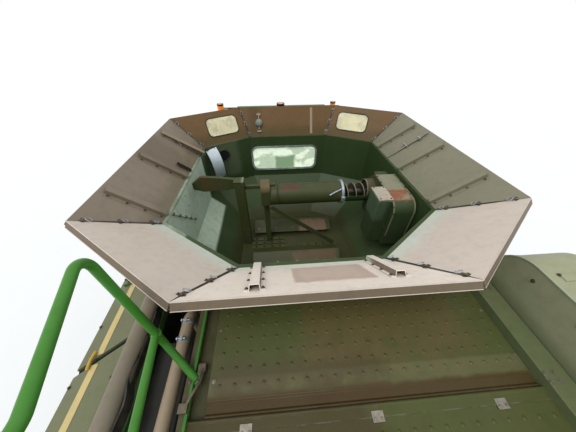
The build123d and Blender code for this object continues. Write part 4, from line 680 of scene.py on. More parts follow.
def extension():
    """The side, rear corner and rear panels as sheets with lips, hems and bolted hat ribs."""
    sheets, corners, lips, hems, ribs, bolts = (bmesh.new() for _ in range(6))
    inverse = SIDE_PANEL[0].inverted()
    height = SIDE_PANEL[1][2][1]
    for side in (1, -1):
        matrix = mirrored(SIDE_PANEL[0], side)
        panel_sheet(sheets, lips, hems, matrix, SIDE_PANEL[1])
        panel_sheet(corners, lips, hems, mirrored(REAR_CORNER_PANEL[0], side), REAR_CORNER_PANEL[1])
        for low_y, high_y in SIDE_RIBS:
            foot = inverse @ Vector((TANK_CORNERS[2][0], low_y, TANK_RIM_Z))
            head = inverse @ Vector((RIM_CORNERS[2][0], high_y, RIM_Z))
            top = (foot.x + (head.x - foot.x) * RIB_SHARE, RIB_SHARE * height)
            hat_rib(ribs, bolts, matrix, (foot.x, 0.015), top)
    piece("side_extension_sheets", sheets, "side_panel", bevel=0.0015, replaces=("extension_sides",))
    piece("side_extension_ribs", ribs, "side_panel")
    piece("rear_corner_extension_sheets", corners, "rear_corner", bevel=0.0015,
          replaces=("extension_rear_corners",))
    sheets, ribs = bmesh.new(), bmesh.new()
    matrix, outline = REAR_PANEL
    panel_sheet(sheets, lips, hems, matrix, outline)
    inverse = matrix.inverted()
    for low_x, high_x, share in REAR_RIBS:
        foot = inverse @ Vector((low_x, TANK_CORNERS[3][1], TANK_RIM_Z))
        head = inverse @ Vector((high_x, RIM_CORNERS[3][1], RIM_Z))
        top = (foot.x + (head.x - foot.x) * share, share * outline[2][1])
        hat_rib(ribs, bolts, matrix, (foot.x, 0.012), top)
    piece("rear_extension_sheet", sheets, "rear_panel", bevel=0.0015, replaces=("extension_rear",))
    piece("rear_extension_ribs", ribs, "rear_panel")
    piece("extension_rim_lips", lips, "lip", bevel=0.002)
    piece("extension_rim_hems", hems, "rear_corner")
    piece("extension_rib_bolts", bolts, "bolt")


SEAM_SHARES = (0.14, 0.52, 0.88)


def seams():
    """Dark joints between the panels, each with over-centre clamps, rivets and a wire ring."""
    strips, clamps, rings, rivets = (bmesh.new() for _ in range(4))
    for side in (1, -1):
        for corner in range(4):
            low = Vector((side * TANK_CORNERS[corner][0], TANK_CORNERS[corner][1], TANK_RIM_Z + 0.004))
            high = Vector((side * RIM_CORNERS[corner][0], RIM_CORNERS[corner][1], RIM_Z - 0.006))
            inward = Vector((-low.x, 0.35 - low.y, 1.1)).normalized()
            run = (high - low).normalized()
            across = run.cross(inward).normalized()
            inward = across.cross(run)
            low, high = low + inward * 0.002, high + inward * 0.002
            place = frame_of(low, across, inward, run)
            length = (high - low).length
            box(strips, (-0.009, 0.009), (-0.006, 0.003), (0.0, length), place)
            for share in SEAM_SHARES:
                at = share * length
                box(clamps, (-0.030, 0.030), (0.002, 0.006), (at - 0.012, at + 0.012), place)
                box(clamps, (-0.009, 0.009), (0.006, 0.016), (at - 0.026, at + 0.010), place)
                for x in (-0.021, 0.021):
                    bolt(rivets, (x, 0.006, at), (0, 1, 0), 0.0045, place)
                loop = [place @ Vector((0.020 * c, 0.020 + 0.005 * s, at - 0.034 + 0.020 * s))
                        for c, s in circle(1.0, 12)]
                sweep(rings, loop, circle(0.0022, 6), closed=True)
    piece("extension_seams", strips, "seal")
    piece("extension_clamps", clamps, "bolt", bevel=0.0015)
    piece("extension_clamp_rings", rings, "bright")
    piece("extension_clamp_rivets", rivets, "bolt")


def stays():
    """The long channel strut and hook on the left, and the ringed locking bar on the right."""
    strut, steel, ring, dark = (bmesh.new() for _ in range(4))
    channel = ((-0.023, -0.014), (0.023, -0.014), (0.023, 0.014), (0.019, 0.014), (0.019, -0.010),
               (-0.019, -0.010), (-0.019, 0.014), (-0.023, 0.014))
    sweep(strut, ((-1.512, 0.885, 3.786), (-1.130, 1.000, 3.462)), channel, turn=(-0.6, 0, 0.8))
    sweep(steel, ((-1.452, 0.930, 3.735), (-1.412, 0.927, 3.704), (-1.364, 0.922, 3.646),
                  (-1.352, 0.918, 3.600), (-1.372, 0.912, 3.590)), circle(0.010, 8))
    # A thin dark strip of painted shade stands for the slot in the left panel.
    box(dark, (-0.022, 0.022), (-0.002, 0.003), (0.0, 0.168),
        frame_at((-1.312, 0.548, 3.562), (0.121, 0.041, -0.126), (0, 1, 0)))
    sweep(steel, ((1.528, 0.614, 3.800), (1.463, 0.638, 3.722), (1.212, 0.732, 3.444)), circle(0.011, 10))
    for centre, radius in (((1.361, 0.690, 3.612), 0.036), ((1.463, 0.640, 3.722), 0.020)):
        hoop(ring, frame_at(centre, (0.65, 0.1, 0.75), (0, 1, 0)), radius, circle(0.006, 8), 20)
    box(steel, (-0.030, 0.030), (-0.016, 0.016), (-0.004, 0.020),
        frame_at((1.470, 0.640, 3.712), (-0.71, 0, 0.70), (0, 1, 0)))
    piece("left_channel_strut", strut, "pipe", bevel=0.0015)
    piece("panel_locking_bars", steel, "steel")
    piece("panel_lock_rings", ring, "bright")
    piece("left_panel_slot_shade", dark, "shadow")


# Tank interior

def tube_about(bm, x0, x1, radius, y, z, steps=40, inner=0.0):
    """A tube or rod along X."""
    place = frame_at((x0, y, z), (1, 0, 0), (0, 1, 0))
    length = x1 - x0
    if inner:
        lathe(bm, ((inner, 0), (radius, 0), (radius, length), (inner, length), (inner, 0)), place, steps)
    else:
        lathe(bm, disc_profile(radius, 0, length, min(0.006, 0.3 * radius)), place, steps)


def helix(bm, x0, x1, y, z, inner, outer, pitch, thick=0.004):
    """The flight of an auger along X, as a thin closed ribbon."""
    steps = 20
    count = int((x1 - x0) / pitch * steps) + 1
    rings = []
    for i in range(count + 1):
        angle = 2 * math.pi * i / steps
        x = x0 + (x1 - x0) * i / count
        c, s = math.cos(angle), math.sin(angle)
        rings.append([bm.verts.new((x + dx, y + r * c, z + r * s))
                      for dx, r in ((-thick, inner), (-thick, outer), (thick, outer), (thick, inner))])
    skin(bm, rings)


TANK_FLOOR = 2.330
YOKE_X = (-0.410, -0.300)
POST_X = (-0.710, -0.600)
FLIGHT_AXIS = (0.440, 3.150)
FLIGHT_X = (0.590, 0.955)
TROUGH_RADIUS = 0.122


def filling_auger():
    """The auger's tube on its yoke, post, arm and brace, its band clamp, and the open flight beside it."""
    tube, bright, flight, edge, carrier = (bmesh.new() for _ in range(5))
    tube_about(tube, YOKE_X[1], 0.600, TUBE_RADIUS, TUBE_Y, TUBE_Z)
    yoke = [(0.350, 3.050), (0.570, 3.050), (0.570, 3.230)]
    yoke += arc((TUBE_Y, 3.230), 0.110, 10, 170, 11) + [(0.350, 3.230)]
    prism(carrier, yoke, *YOKE_X, ACROSS)
    box(carrier, POST_X, (0.400, 0.500), (TANK_FLOOR, 3.366))
    box(carrier, (POST_X[1], YOKE_X[0]), (0.445, 0.485), (3.240, 3.285))
    box(carrier, (YOKE_X[0] + 0.02, YOKE_X[1] - 0.02), (0.430, 0.490), (TANK_FLOOR, 3.06))
    box(carrier, (-0.32, -0.24), (0.452, 0.496), (3.255, 3.290))
    box(carrier, (POST_X[0] - 0.005, POST_X[1] + 0.005), (0.395, 0.505), (3.366, 3.374))
    arm = ((-1.196, 3.265), (-1.196, 3.330), (-1.080, 3.425), (-0.880, 3.405), (-0.600, 3.360),
           (-0.600, 3.270), (-0.800, 3.235), (-1.080, 3.225))
    prism(carrier, arm, 0.455, 0.495, ALONG)
    brace = ((-0.300, 0.350, 3.030), (0.120, 0.300, 2.730), (0.520, 0.250, 2.440))
    sweep(carrier, brace, band(0.010, 0.060))
    strap = arc((TUBE_Y, TUBE_Z), TUBE_RADIUS + 0.005, -20, 200, 20)
    sweep(carrier, [(-0.215, y, z) for y, z in strap], band(0.05, 0.006), turn=(1, 0, 0))
    piece("filling_auger_tube", tube, "tube", replaces=("tank_cross_tube",))
    piece("filling_auger_frame", carrier, "tube", bevel=0.006)
    tube_about(bright, 0.554, 0.582, 0.150, TUBE_Y, TUBE_Z, inner=TUBE_RADIUS - 0.004)
    box(bright, (0.548, 0.588), (TUBE_Y - 0.175, TUBE_Y - 0.135), (TUBE_Z - 0.02, TUBE_Z + 0.03))
    sweep(bright, ((0.398, 0.306, 3.200), (0.470, 0.330, 3.226), (0.548, 0.351, 3.250)), circle(0.009, 8))
    piece("filling_auger_clamp", bright, "bright", bevel=0.002)
    helix(flight, *FLIGHT_X, *FLIGHT_AXIS, 0.028, 0.105, 0.10)
    tube_about(flight, FLIGHT_X[0] - 0.005, FLIGHT_X[1] + 0.005, 0.030, *FLIGHT_AXIS, 20)
    helix(edge, *FLIGHT_X, *FLIGHT_AXIS, 0.103, 0.110, 0.10, thick=0.0055)
    piece("filling_auger_flight", flight, "dark_steel")
    piece("filling_auger_flight_edge", edge, "flange")


def elevator():
    """The elevator's head with its two boxes, the flight's trough and hood, and their pale flanges."""
    head, trough, cream, bolts = (bmesh.new() for _ in range(4))
    rear, front, foot, top, radius = -0.150, 0.560, 2.800, 3.380, 0.135
    bend = (rear + radius, top - radius)
    outline = [(front, foot), (front, 3.270), (0.430, top)] + arc(bend, radius, 90, 180, 9) + [(rear, foot)]
    prism(head, outline, 0.950, 1.178, ACROSS)
    box(head, (0.800, 0.950), (-0.080, 0.160), (foot, 3.398))
    box(head, (0.990, 1.140), (0.460, 0.556), (3.270, 3.350))
    piece("elevator_head", head, "elevator", bevel=0.005, replaces=("loading_auger",))
    shell = arc(FLIGHT_AXIS, TROUGH_RADIUS, 175, 365, 22)
    shell += arc(FLIGHT_AXIS, TROUGH_RADIUS - 0.006, 365, 175, 22)
    prism(trough, shell, FLIGHT_X[0] - 0.005, FLIGHT_X[1], ACROSS)
    hood = (0.430, 3.190)
    shell = arc(hood, TROUGH_RADIUS, -8, 188, 22) + arc(hood, TROUGH_RADIUS - 0.010, 188, -8, 22)
    prism(trough, shell, 0.860, FLIGHT_X[1], ACROSS)
    piece("filling_auger_trough", trough, "elevator", bevel=0.001)
    rim = [(0.857, y, z) for y, z in arc(hood, TROUGH_RADIUS - 0.005, -8, 188, 24)]
    sweep(cream, rim, band(0.008, 0.018), turn=(1, 0, 0))
    for x in (0.954, 1.174):
        edge = arc(bend, radius + 0.003, 90, 180, 10)
        path = [(x, 0.425, top + 0.003)] + [(x, y, z) for y, z in edge] + [(x, rear - 0.003, 2.95)]
        sweep(cream, path, band(0.006, 0.016), turn=(1, 0, 0))
        for y in (0.02, 0.14, 0.26, 0.38):
            bolt(bolts, (x, y, top + 0.006), size=0.007)
    for y, z in arc(bend, radius + 0.006, 110, 170, 3):
        bolt(bolts, (0.954, y, z), (0, y - bend[0], z - bend[1]), 0.007)
    for x, y in ((0.82, -0.06), (0.93, -0.06), (0.82, 0.14), (0.93, 0.14)):
        bolt(bolts, (x, y, 3.398), size=0.006)
    for x, y in ((1.01, 0.49), (1.12, 0.49), (1.01, 0.535), (1.12, 0.535)):
        bolt(bolts, (x, y, 3.350), size=0.007)
    for y in (-0.09, 0.05, 0.19, 0.33, 0.47):
        bolt(bolts, (0.950, y, 3.02), (-1, 0, 0), 0.008)
    piece("elevator_flanges", cream, "flange", bevel=0.001)
    piece("elevator_bolts", bolts, "bolt")


COVER_YS = (0.100, 0.720)


def covers():
    """Strips with holes beside the covers, bolts on them, and the cross augers' flights below; the holes are
    discs of painted shade.
    """
    strips, holes, bolts, flights = (bmesh.new() for _ in range(4))
    under = TANK_FLOOR - 0.002
    for x0, y0 in ((-0.600, 0.300), (0.130, 0.300), (-0.600, 0.375), (-0.600, 0.450)):
        box(strips, (x0, x0 + 0.460), (y0, y0 + 0.048), (under, TANK_FLOOR + 0.014))
        for i in range(4):
            at = Matrix.Translation((x0 + 0.065 + i * 0.110, y0 + 0.024, TANK_FLOOR))
            # Each hole is a dark disc of painted shade.
            lathe(holes, disc_profile(0.015, 0.0, 0.0155, 0.001), at, 14)
    for y in COVER_YS:
        helix(flights, -0.535, 0.535, y, TANK_FLOOR + 0.062, 0.018, 0.055, 0.11)
        tube_about(flights, -0.540, 0.540, 0.020, y, TANK_FLOOR + 0.062, 16)
        for x in (-0.50, -0.25, 0.0, 0.25, 0.50):
            for side in (-1, 1):
                bolt(bolts, (x, y + side * 0.118, TANK_FLOOR + 0.092), (0, side * 0.52, 0.85), 0.008)
        for x in (-0.545, 0.545):
            box(strips, (x - 0.020, x + 0.020), (y - 0.170, y + 0.170), (under, TANK_FLOOR + 0.006))
    piece("tank_floor_strips", strips, "covers", bevel=0.001)
    piece("tank_floor_hole_shade", holes, "shadow")
    piece("cross_auger_flights", flights, "steel")
    piece("cover_bolts", bolts, "bolt")


LINER_X = 1.196


def tank_walls():
    """Liner seams with bolts, the grain port with its cowl, the window's seal and wall stiffeners."""
    seam, bolts, cowl, ring, dark, seal = (bmesh.new() for _ in range(6))
    for side in (-1, 1):
        for y in (0.20, 0.78):
            place = frame_at((side * (LINER_X + 0.008), y, 3.10), (-side, 0, 0), (0, 1, 0))
            box(seam, (-0.020, 0.020), (-0.30, 0.30), (-0.012, 0.0035), place)
            for step in range(5):
                bolt(bolts, (0, -0.26 + 0.13 * step, 0.0035), (0, 0, 1), 0.007, place)
    for x in (-LINER_X - 0.026, LINER_X):
        box(seam, (x, x + 0.026), (-0.29, 1.19), (2.775, 2.800))
    line = [Vector((-LINER_X, -0.165 + 0.40 * i / 8, 3.420 - 0.42 * i / 8)) for i in range(9)]
    sweep(seam, (line[0], line[-1]), band(0.007, 0.030), turn=(1, 0, 0))
    for spot in line[::2]:
        bolt(bolts, spot + Vector((0.006, 0, 0)), (1, 0, 0), 0.011)
    normal = Vector((0.447, -0.894, 0))
    port = frame_at((-0.960, 1.325, 3.250), normal, (0.447, 0.894, 0))
    hoop(ring, port, 0.088, circle(0.008, 8), 32, 0.006)
    # A dark disc of painted shade stands for the port's opening.
    lathe(dark, disc_profile(0.086, -0.006, 0.004, 0.002), port, 32)
    for a, b in circle(0.108, 6):
        bolt(bolts, (a, b, 0.0), (0, 0, 1), 0.007, port)
    along = Vector((0.894, 0.447, 0))
    path = []
    for share, out, z in ((0.0, 0.016, 3.395), (0.2, 0.090, 3.340), (0.4, 0.128, 3.250), (0.6, 0.120, 3.140),
                          (0.8, 0.080, 3.030), (1.0, 0.014, 2.930)):
        path.append(Vector((-1.105, 1.252, z)) + normal * out + along * 0.06 * share)
    sweep(cowl, path, band(0.150, 0.004), turn=normal)
    for end in (path[0], path[-1]):
        for shift in (-0.05, 0.05):
            bolt(bolts, end + along * shift + normal * 0.004, normal, 0.008)
    loop = [(x, 1.517, z) for x, z in rounded((-0.556, 2.900), (0.438, 3.270), 0.090, 0.004, 7)]
    sweep(seal, loop, band(0.026, 0.022), closed=True, turn=(0, 1, 0))
    piece("tank_liner_seams", seam, "tank", bevel=0.001)
    piece("tank_wall_bolts", bolts, "bolt")
    piece("grain_port_ring", ring, "dark_steel")
    piece("grain_port_hole_shade", dark, "shadow")
    piece("grain_cowl", cowl, "cowl")
    piece("tank_window_seal", seal, "pale_seal")


def corner_windows():
    """Dark rubber seals round the corner windows, and the level sensor and rods on the front panel."""
    seal, rod, dome = bmesh.new(), bmesh.new(), bmesh.new()
    matrix, outline = panel(TANK_CORNERS[1], TANK_CORNERS[0], RIM_CORNERS[1], RIM_CORNERS[0])
    middle_x, middle_y = 0.5 * outline[1][0], 0.52 * outline[2][1]
    half_x, half_y = 0.31 * outline[1][0], 0.28 * outline[2][1]
    for side in (1, -1):
        place = mirrored(matrix, side)
        points = rounded((middle_x - half_x, middle_y - half_y), (middle_x + half_x, middle_y + half_y),
                         0.060, 0.003, 6)
        sweep(seal, [place @ Vector((x, y, -0.002)) for x, y in points], circle(0.007, 8), closed=True)
    front, shape = FRONT_PANEL
    height = shape[2][1]
    sensor_x, rod_x = TANK_CORNERS[0][0] + 0.422, TANK_CORNERS[0][0] - 0.352
    place = front @ frame_at((sensor_x, 0.46 * height, -0.004), (0, 0, -1), (1, 0, 0))
    lathe(dome, ((0.055, 0.0), (0.054, 0.012), (0.046, 0.030), (0.030, 0.044), (0.012, 0.051), (0, 0.052)),
          place, 28)
    ends = [front @ Vector((sensor_x, y, -0.012)) for y in (0.10, 0.80 * height)]
    sweep(rod, ends, circle(0.009, 8))
    for y in (0.18 * height, 0.74 * height):
        box(rod, (sensor_x - 0.030, sensor_x + 0.030), (y - 0.012, y + 0.012), (-0.020, 0.0), front)
    box(rod, (rod_x - 0.018, rod_x + 0.018), (0.02, 0.93 * height), (-0.006, 0.0), front)
    piece("corner_window_seals", seal, "seal")
    piece("level_sensor_dome", dome, "pale_seal")
    piece("front_panel_rods", rod, "pipe", bevel=0.001)


# Engine deck and flanks

DECK_PROFILE = ((-0.852, 3.270), (-0.852, 3.3000), (-1.505, 3.3000), (-1.514, 3.2965), (-1.554, 3.2975),
                (-1.563, 3.2895), (-1.604, 3.2895), (-1.612, 3.2990), (-1.620, 3.2990), (-1.620, 3.270))
DECK_X = (-0.660, 1.122)
BAY_Y = (-2.950, -0.852)
BEAM_X = (1.125, 1.257)
BEAM_TOP = 3.360
STUDS_IN_A_ROW = 22


def studs(bm, x0, y0, pitch_x, pitch_y, rows):
    """Rows of shallow pressed studs, counted from the right and from y0."""
    radius = 0.0115
    for row in range(rows):
        for i in range(STUDS_IN_A_ROW):
            lathe(bm, ((radius, 0), (0.8 * radius, 0.0022), (0.4 * radius, 0.0036), (0, 0.0040)),
                  Matrix.Translation((x0 - i * pitch_x, y0 + row * pitch_y, DECK_Z)), 12)


def deck():
    """The studded deck sheet with its crease and gutter, the engine bay's walls and the side beam."""
    sheet, walls, beam, trim, bolts, dark = (bmesh.new() for _ in range(6))
    prism(sheet, DECK_PROFILE, *DECK_X, ACROSS)
    studs(sheet, 1.058, -1.492, 0.079, 0.078, 6)
    piece("deck_sheet", sheet, "deck", bevel=0.002, replaces=("engine_deck",))
    box(walls, (-0.780, -0.740), BAY_Y, (2.600, 3.322))
    box(walls, (-0.740, DECK_X[0]), (-1.620, BAY_Y[1]), (3.255, 3.268))
    box(walls, (-0.740, 1.220), (BAY_Y[0], -2.920), (2.600, 3.268))
    box(walls, (1.190, 1.220), BAY_Y, (2.600, 3.262))
    box(beam, BEAM_X, BAY_Y, (3.262, BEAM_TOP))
    box(beam, (BEAM_X[1], 1.320), BAY_Y, (3.262, DECK_Z))
    box(beam, (1.140, 1.242), (-1.127, -0.870), (BEAM_TOP - 0.002, BEAM_TOP + 0.006))
    piece("engine_bay_walls", walls, "dark_green", bevel=0.002)
    piece("deck_side_beam", beam, "housing_beam", bevel=0.010)
    box(trim, (-0.751, -0.737), BAY_Y, (3.318, 3.326))
    box(trim, (-0.742, -0.738), BAY_Y, (DECK_Z, 3.321))
    piece("bay_wall_trim", trim, "bright_green", bevel=0.0015)
    for x, y, z in ((1.190, -1.065, BEAM_TOP + 0.006), (1.160, -1.602, BEAM_TOP),
                    (1.190, -0.930, BEAM_TOP + 0.006)):
        for dx in (-0.024, 0.024):
            for dy in (-0.019, 0.019):
                bolt(bolts, (x + dx, y + dy, z), size=0.008)
    for x in (1.095, -0.635):
        for y in (-0.90, -1.20, -1.47):
            bolt(bolts, (x, y, DECK_Z), size=0.007)
    box(dark, (-0.655, 1.117), (-1.628, -1.621), (3.270, 3.2975))
    piece("deck_bolts", bolts, "steel")
    piece("deck_rear_seal", dark, "seal")


def rear_cover():
    """Studs, latches, handles and the rolled edge of the rear cover, which ride on it."""
    dimples, edge, latches = bmesh.new(), bmesh.new(), bmesh.new()
    studs(dimples, 1.083, -1.740, 0.080, -0.080, 14)
    for x in (-0.45, 0.20, 0.85):
        box(latches, (x - 0.030, x + 0.030), (-1.700, -1.655), (3.304, 3.309))
        for side in (-0.018, 0.018):
            bolt(latches, (x + side, -1.688, 3.309), size=0.006)
    tube_about(edge, -0.755, 1.172, 0.008, -2.985, 3.293, 12)
    for x in (-0.20, 0.60):
        left, right = x - 0.06, x + 0.06
        handle = [(a, -2.965, z) for a, z in ((left, 3.300), (left, 3.335), (right, 3.335), (right, 3.300))]
        sweep(latches, handle, circle(0.007, 8))
    piece("rear_cover_studs", dimples, "cover", "rear_cover")
    piece("rear_cover_latches", latches, "steel", "rear_cover", bevel=0.001)
    piece("rear_cover_edge_roll", edge, "cover", "rear_cover")


def housing():
    """The cooling housing's inner plate with a rolled corner, its pale edge, bolts and top swages."""
    plate, rim, bolts, ribs = (bmesh.new() for _ in range(4))
    corner = arc((-1.150, 3.485), 0.200, 0, 90, 12)
    outline = [(-2.500, 3.302), (-0.950, 3.302)] + corner + [(-2.500, 3.685)]
    prism(plate, outline, 1.266, 1.322, ACROSS)
    path = [(1.268, y, z) for y, z in [(-0.950, 3.310)] + corner + [(-2.490, 3.686)]]
    sweep(rim, path, band(0.010, 0.014), turn=(1, 0, 0))
    for y in (-2.35, -2.05, -1.75, -1.45, -1.18):
        bolt(bolts, (1.266, y, 3.60), (-1, 0, 0), 0.008)
    for y in (-2.40, -2.10, -1.80, -1.50, -1.20):
        bolt(bolts, (1.345, y, 3.681), size=0.008)
        bolt(bolts, (1.615, y, 3.681), size=0.008)
    for y in (-2.25, -1.72, -1.22):
        sweep(ribs, ((1.345, y, 3.682), (1.480, y, 3.684), (1.620, y, 3.682)), band(0.045, 0.010))
    piece("housing_inner_plate", plate, "housing", bevel=0.003)
    piece("housing_edge_flange", rim, "edge", bevel=0.003)
    piece("housing_bolts", bolts, "bolt")
    piece("housing_top_swages", ribs, "housing", bevel=0.003)


def rotary_screen():
    """Perforations, spokes, hoops and hub on the face of the radiator's screen, which turn with it; the
    perforations are hexagons of painted shade.
    """
    holes, bars = bmesh.new(), bmesh.new()
    face = frame_at((1.700, -1.725, 3.130), (1, 0, 0), (0, 1, 0))
    pitch = 0.025
    for ring in range(1, 19):
        for x, y in circle(pitch * ring, max(6, int(2 * math.pi * ring))):
            # Each perforation is a dark hexagon of painted shade.
            prism(holes, circle(0.0085, 6), -0.001, 0.0006, face @ Matrix.Translation((x, y, 0)))
    for c, s in circle(1.0, 6):
        spoke = [face @ Vector((r * c, r * s, 0.002)) for r in (0.02, 0.25, 0.485)]
        sweep(bars, spoke, band(0.026, 0.005), turn=(1, 0, 0))
    for radius in (0.17, 0.33, 0.482):
        hoop(bars, face, radius, band(0.014, 0.005), 48, 0.002, (1, 0, 0))
    lathe(bars, disc_profile(0.070, -0.001, 0.008), face, 24)
    piece("screen_perforation_shade", holes, "shadow", "rotary_screen")
    piece("screen_hoops", bars, "green", "rotary_screen")


SHIELD_FACE = ((-1.250, 3.158), (-1.290, 3.150), (-1.640, 3.000), (-1.640, 2.940), (-1.632, 2.940),
               (-1.628, 2.975), (-1.290, 3.125), (-1.250, 3.125))
# The slanted gap: its slope over X, and where its middle line would meet X 0
GAP_LEAN = math.tan(math.radians(22))
GAP_Y = -1.216 + GAP_LEAN * 1.475


def shield_z(x):
    """Height of the left top shield's slope."""
    return 3.150 - (-1.290 - x) * 0.150 / 0.350


def flanks():
    """Sloping top shields with the slanted gap, their stripe, a dark strip of painted shade under the gap,
    link and channel, and the roll's flap.
    """
    sheets, shade_under_gap, stripe, link, channel, flap, bolts = (bmesh.new() for _ in range(7))
    prism(sheets, SHIELD_FACE, -3.000, GAP_Y - 0.020, ALONG, shear=(0, GAP_LEAN))
    prism(sheets, SHIELD_FACE, GAP_Y + 0.020, -0.500, ALONG, shear=(GAP_LEAN, 0))
    prism(sheets, SHIELD_FACE, -0.930, -0.500, Matrix.Diagonal((-1, 1, 1, 1)) @ ALONG)
    # A dark strip of painted shade lies under the gap so that it looks deep.
    ends = [(x, GAP_Y + GAP_LEAN * x, shield_z(x) - 0.032) for x in (-1.285, -1.634)]
    sweep(shade_under_gap, ends, band(0.060, 0.005))
    slope = Vector((-0.350, 0, -0.150)).normalized()
    out = Vector((-0.150, 0, 0.350)).normalized()
    place = frame_of(Vector((-1.495, 0, 3.0626)) + out * 0.0005, slope, (0, 1, 0), out)
    gap_at_stripe = GAP_Y - GAP_LEAN * 1.495
    for ends in ((-2.990, gap_at_stripe - 0.030), (gap_at_stripe + 0.030, -0.510)):
        box(stripe, (-0.032, 0.032), ends, (0.0, 0.0015), place)
    sweep(link, ((-1.529, -1.285, 3.066), (-1.529, -1.230, 3.074), (-1.529, -1.175, 3.066)),
          circle(0.011, 10))
    sweep(channel, ((-1.375, -0.617, 3.122), (-1.590, -0.617, 3.030)),
          ((-0.030, -0.006), (0.030, -0.006), (0.030, 0.020), (0.024, 0.020), (0.024, 0.0), (-0.024, 0.0),
           (-0.024, 0.020), (-0.030, 0.020)), turn=out)
    box(channel, (-1.150, -1.120), (-2.95, -0.55), (3.060, 3.130))
    for x in (-1.410, -1.555):
        bolt(bolts, Vector((x, -0.617, shield_z(x))) + out * 0.008, out, 0.009)
    for x in (-1.300, -1.625):
        for y in (-2.85, -2.30, -1.75, -1.36, -0.98, -0.56):
            bolt(bolts, Vector((x, y, shield_z(x))) + out * 0.001, out, 0.008)
    wave = []
    for i in range(73):
        y = -2.95 + i * (2.40 / 72)
        x = -1.142 + 0.012 * math.sin(11 * y) + 0.006 * math.sin(29 * y + 1)
        wave.append((x, y, 3.180 + 0.006 * math.sin(17 * y)))
    lip = ((-0.004, -0.055), (0.004, -0.055), (0.005, 0.045), (-0.003, 0.048))
    sweep(flap, wave, lip, turn=(0, 0, 1))
    piece("top_shield_gap_shade", shade_under_gap, "shadow")
    piece("top_shield_sheets", sheets, "shield", bevel=0.002, replaces=("top_shields",))
    piece("top_shield_stripe", stripe, "stripe")
    piece("top_shield_link", link, "yellow")
    piece("top_shield_channel", channel, "green", bevel=0.002)
    piece("top_shield_bolts", bolts, "bolt")
    piece("roll_seal", flap, "seal")


PIPE_X = -0.900
PIPE_Z = 3.180


def pipe_and_rail():
    """Clamp bands on the air pipe, weld beads of the handrail and the latch at the deck's left edge."""
    clamps, welds, latch = bmesh.new(), bmesh.new(), bmesh.new()
    for y in (-1.080, -1.200, -1.90, -2.45):
        place = frame_at((PIPE_X, y - 0.011, PIPE_Z), (0, 1, 0), (1, 0, 0))
        lathe(clamps, ((0.0395, 0), (0.0430, 0.001), (0.0430, 0.021), (0.0395, 0.022)), place, 28)
        box(clamps, (PIPE_X - 0.008, PIPE_X + 0.008), (y - 0.011, y + 0.011),
            (PIPE_Z + 0.040, PIPE_Z + 0.062))
        screw = (PIPE_X - 0.025, y, PIPE_Z + 0.053)
        sweep(clamps, (screw, (PIPE_X + 0.025, y, PIPE_Z + 0.053)), circle(0.005, 8))
        bolt(clamps, screw, (-1, 0, 0), 0.008)
    for place in ((-0.735, -1.450, 3.314), (-0.893, -1.310, 3.580), (-0.850, -2.850, 3.580)):
        hoop(welds, Matrix.Translation(place), 0.021, circle(0.006, 6), 16)
    for x in (-0.755, -0.715):
        for y in (-1.470, -1.430):
            bolt(latch, (x, y, 3.327), size=0.007)
    sweep(latch, ((-0.700, -1.400, 3.310), (-0.705, -1.470, 3.322), (-0.735, -1.540, 3.345),
                  (-0.752, -1.575, 3.336), (-0.758, -1.595, 3.333)), circle(0.009, 8))
    box(latch, (-0.730, -0.690), (-1.420, -1.380), (3.266, 3.318))
    box(latch, (-0.782, -0.738), (-1.600, -1.560), (3.327, 3.350))
    for y in (-1.72, -2.30):
        lathe(welds, disc_profile(0.012, 0, 0.022), frame_at((-0.850, y, 3.597), (0, 0, 1)), 12)
    piece("air_pipe_clamps", clamps, "bright", bevel=0.001)
    piece("handrail_welds", welds, "bright_green")
    piece("deck_latch", latch, "bolt", bevel=0.001)


# Wheels

def tyre_piece(name, node, body, centre, radius, width, rim_radius, lugs, lug_height):
    """A tractor tyre with slanted lugs that run over its shoulders, turned about X."""
    bm = bmesh.new()
    crown = radius - lug_height
    place = Matrix.Translation(centre)
    bead = rim_radius + 0.0015
    wall = radius - bead
    half_profile = ((bead, 0.38), (bead + 0.031, 0.385), (bead + 0.045, 0.425), (bead + 0.30 * wall, 0.480),
                    (bead + 0.52 * wall, 0.497), (bead + 0.72 * wall, 0.485), (crown - 0.028, 0.455),
                    (crown - 0.010, 0.400), (crown - 0.003, 0.20), (crown, 0.0))
    profile = [(r, share * width) for r, share in half_profile]
    profile += [(r, -u) for r, u in profile[-2::-1]] + profile[:1]
    lathe(bm, profile, place @ frame_at((0, 0, 0), (1, 0, 0), (0, 1, 0)), 72)
    # Stations of a lug across the tyre: share of the width, how far its root sinks, and its top's radius
    stations = ((-0.02, -0.010, radius), (0.12, -0.012, radius), (0.26, -0.014, radius - 0.002),
                (0.40, -0.020, radius - 0.008), (0.462, -0.040, radius - 0.022),
                (0.488, -0.080, radius - 0.075), (0.492, -0.120, radius - 0.115))
    spread = (radius / 0.925) ** 0.5 / radius
    root, tip = 0.036 * spread, 0.021 * spread
    for index in range(lugs):
        for hand, lead in ((1, 0.0), (-1, 0.5)):
            start = 2 * math.pi * (index + lead) / lugs
            rings = []
            for share, sink, top in stations:
                u = share * width
                low = max(crown + sink, bead + 0.1)
                angle = start + max(0.0, min(u, 0.43 * width)) * 0.95 / radius
                section = ((low, angle - root), (top, angle - tip), (top, angle + tip), (low, angle + root))
                rings.append([bm.verts.new(place @ Vector((hand * u, r * math.sin(a), r * math.cos(a))))
                              for r, a in section])
            skin(bm, rings)
    piece(name, bm, "tyre", body, bevel=0.004, smooth=40, replaces=(node,))


WHEELS = {
    # end: centre on the right, radius, width, rim radius, lugs and their height, nut circle and count, and
    # how far the disc's face stands from the middle
    "front": ((1.445, 1.3, 0.925), 0.925, 0.770, 0.410, 20, 0.048, 0.170, 10, -0.248),
    "rear": ((1.180, -2.3, 0.640), 0.640, 0.420, 0.310, 18, 0.036, 0.125, 8, -0.048),
}


